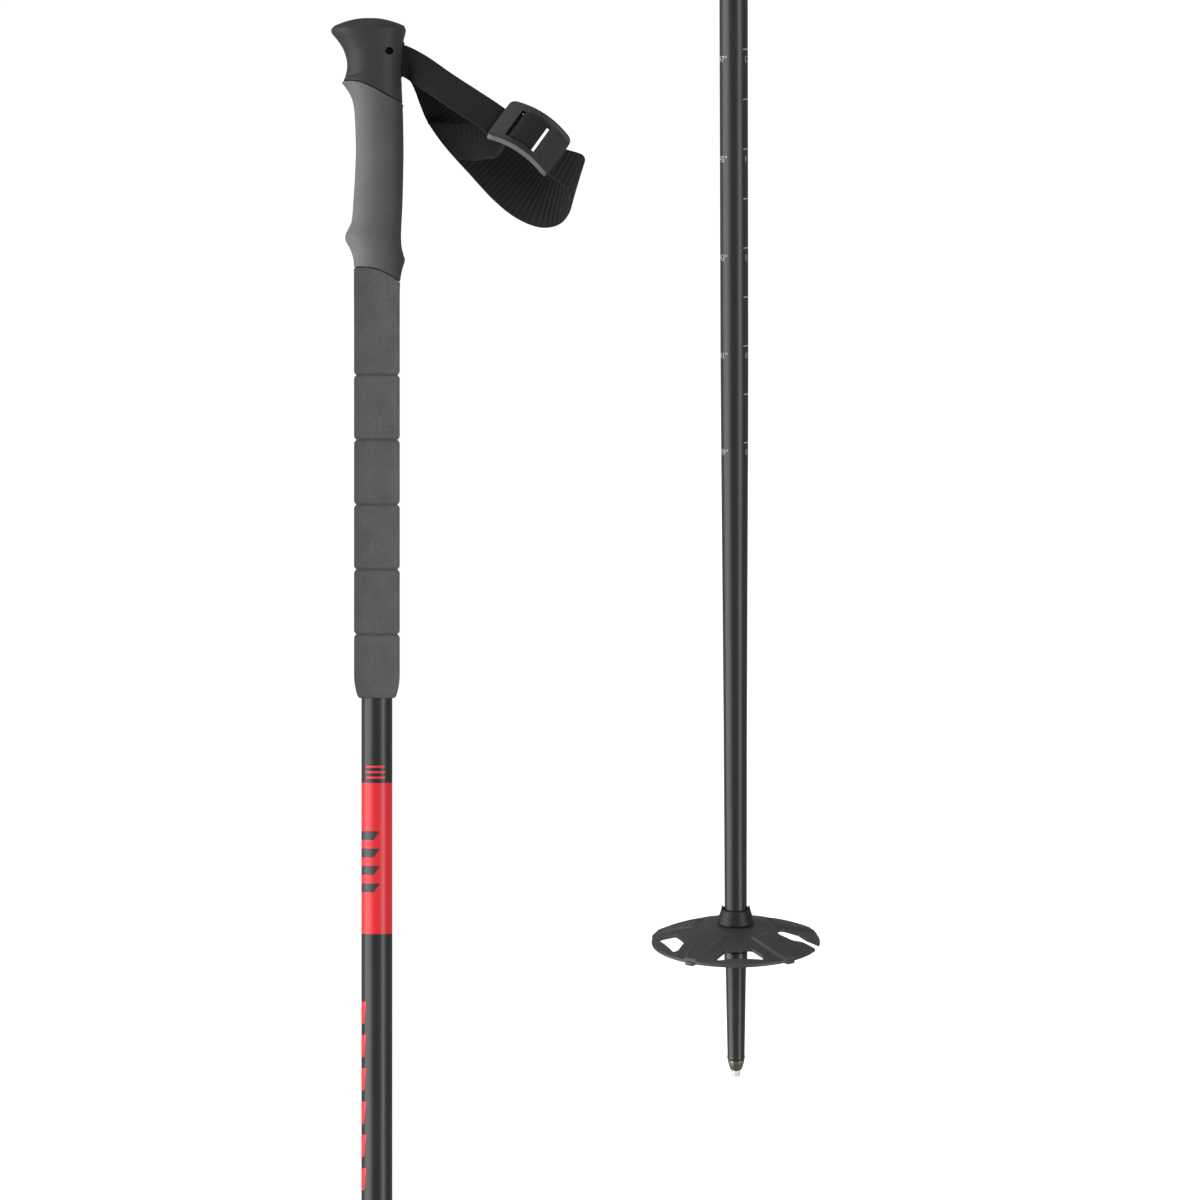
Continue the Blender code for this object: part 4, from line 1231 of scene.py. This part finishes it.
def make_lens_insert(camera):
    """A small bent-light insert over the right half of the lens, the optical part of a split view: rays
    through it go on from a second eye point, so one frame shows both ends of the same pole."""
    focal = 0.5 / math.tan(FIELD / 2)
    side = LENS_GAP / focal
    eye = camera.location
    left, edge = INSERT_LEFT * side, INSERT_EDGE * side
    mesh = bpy.data.meshes.new("lens_insert")
    spots = ((left, -edge), (edge, -edge), (edge, edge), (left, edge))
    corners = [(eye.x + x, eye.y + LENS_GAP, eye.z + z) for x, z in spots]
    mesh.from_pydata(corners, [], [(0, 1, 2, 3)])
    insert = link("lens_insert", mesh)
    material = bpy.data.materials.new("lens_insert")
    material.use_nodes = True
    tree = material.node_tree
    tree.nodes.clear()

    place = add_node(tree, "ShaderNodeNewGeometry").outputs["Position"]
    ray = add_node(tree, "ShaderNodeVectorMath", {0: place, 1: eye}, operation="SUBTRACT")
    # The turned ray is the sum of these columns, each times one component of the ray.
    squeeze = focal / SECOND_FOCAL
    forward = Vector((0, math.cos(SECOND_PITCH), -math.sin(SECOND_PITCH)))
    up = Vector((0, math.sin(SECOND_PITCH), math.cos(SECOND_PITCH)))
    sideways = Vector((SECOND_SHIFT / SECOND_FOCAL, 0, 0)) / SECOND_WIDEN
    lean = Vector((SECOND_LEAN, 0, 0)) / SECOND_WIDEN
    columns = (Vector((squeeze, 0, 0)) / SECOND_WIDEN, forward - sideways, (up + lean) * squeeze)
    turned = add_node(tree, "ShaderNodeCombineXYZ")
    for axis in range(3):
        inputs = {0: ray.outputs[0], 1: [column[axis] for column in columns]}
        product = add_node(tree, "ShaderNodeVectorMath", inputs, operation="DOT_PRODUCT")
        tree.links.new(product.outputs["Value"], turned.inputs[axis])
    unit = add_node(tree, "ShaderNodeVectorMath", {0: turned.outputs[0]}, operation="NORMALIZE")
    second_place = Vector((0, 0, SECOND_LOOK)) - forward * SECOND_DISTANCE
    second_eye = add_node(tree, "ShaderNodeCombineXYZ", dict(enumerate(second_place)))
    inputs = {"Position": second_eye.outputs[0], "Direction": unit.outputs[0]}
    portal = add_node(tree, "ShaderNodeBsdfRayPortal", inputs)
    clear = add_node(tree, "ShaderNodeBsdfTransparent")
    # Only rays that start at the lens are bent; any other ray goes straight through.
    length = add_node(tree, "ShaderNodeLightPath").outputs["Ray Length"]
    near = add_node(tree, "ShaderNodeMath", {0: length, 1: LENS_GAP * 1.5}, operation="LESS_THAN")
    shaders = {0: near.outputs[0], 1: clear.outputs[0], 2: portal.outputs[0]}
    mix = add_node(tree, "ShaderNodeMixShader", shaders)
    add_node(tree, "ShaderNodeOutputMaterial", {0: mix.outputs[0]})
    mesh.materials.append(material)
    for ray_kind in ("diffuse", "glossy", "transmission", "volume_scatter", "shadow"):
        setattr(insert, "visible_" + ray_kind, False)


# ---- put together


def main():
    camera = make_camera()
    make_lens_insert(camera)
    make_studio()

    head = moulded("head_plastic", grey(0.028), 0.55, Specular_IOR_Level=0.3)
    # sides=(1.2, 0.34) paints shade on the rubber: paler towards -X, darker towards +X.
    rubber = moulded(
        "grip_rubber", grey(0.125), 0.66, 0.0006, 0.00004, sides=(1.2, 0.34), Specular_IOR_Level=0.3
    )
    foam = foam_material()
    fine = webbing_material("webbing_fine", 0.8, 0.00004, 116.0)
    ribbed = webbing_material("webbing_ribbed", 2.7, 0.00045)
    buckle = buckle_material()
    paint = shaft_material()
    clamp = moulded("clamp_plastic", (0.040, 0.041, 0.043), 0.42)
    lever = moulded("lever_plastic", (0.050, 0.051, 0.053), 0.36)
    steel = metal_material("steel", (0.42, 0.42, 0.43), 0.34)
    dark_steel = metal_material("dark_steel", grey(0.03), 0.5)
    basket = moulded("basket_plastic", grey(0.036), 0.48, 0.0006, 0.00003)
    collar = moulded("collar_plastic", grey(0.010), 0.45, Specular_IOR_Level=0.3)
    ferrule = moulded("ferrule_plastic", (0.019, 0.019, 0.0195), 0.30)
    olive = metal_material("tip_metal", (0.20, 0.20, 0.16), 0.42)
    carbide = moulded("carbide", (0.72, 0.72, 0.70), 0.30, Metallic=0.2)
    white = ink_material("white_ink", grey(0.42))
    red = ink_material("red_ink", (0.72, 0.028, 0.035))
    black = ink_material("black_ink", (0.030, 0.031, 0.033))

    make_grip(head, rubber, foam, dark_steel)
    make_strap(fine, ribbed, buckle)
    make_shafts(paint)
    make_printing(white, red, black)
    make_basket(basket, collar)
    make_tip(ferrule, olive, carbide)
    for node, body, material, width in (
        ("clamp_collar", "upper_section", clamp, 0.5),
        ("cam_plate", "upper_section", steel, 0.25),
        ("lever_barrel", "upper_section", steel, 0.2),
        ("tension_bolt", "upper_section", steel, 0.15),
        ("clamp_lever", "lever", lever, 0.5),
        ("adjuster_wheel", "wheel", lever, 0.25),
        ("inner_guide", "lower_section", clamp, 0.2),
    ):
        polished(node, body, material, width)


main()
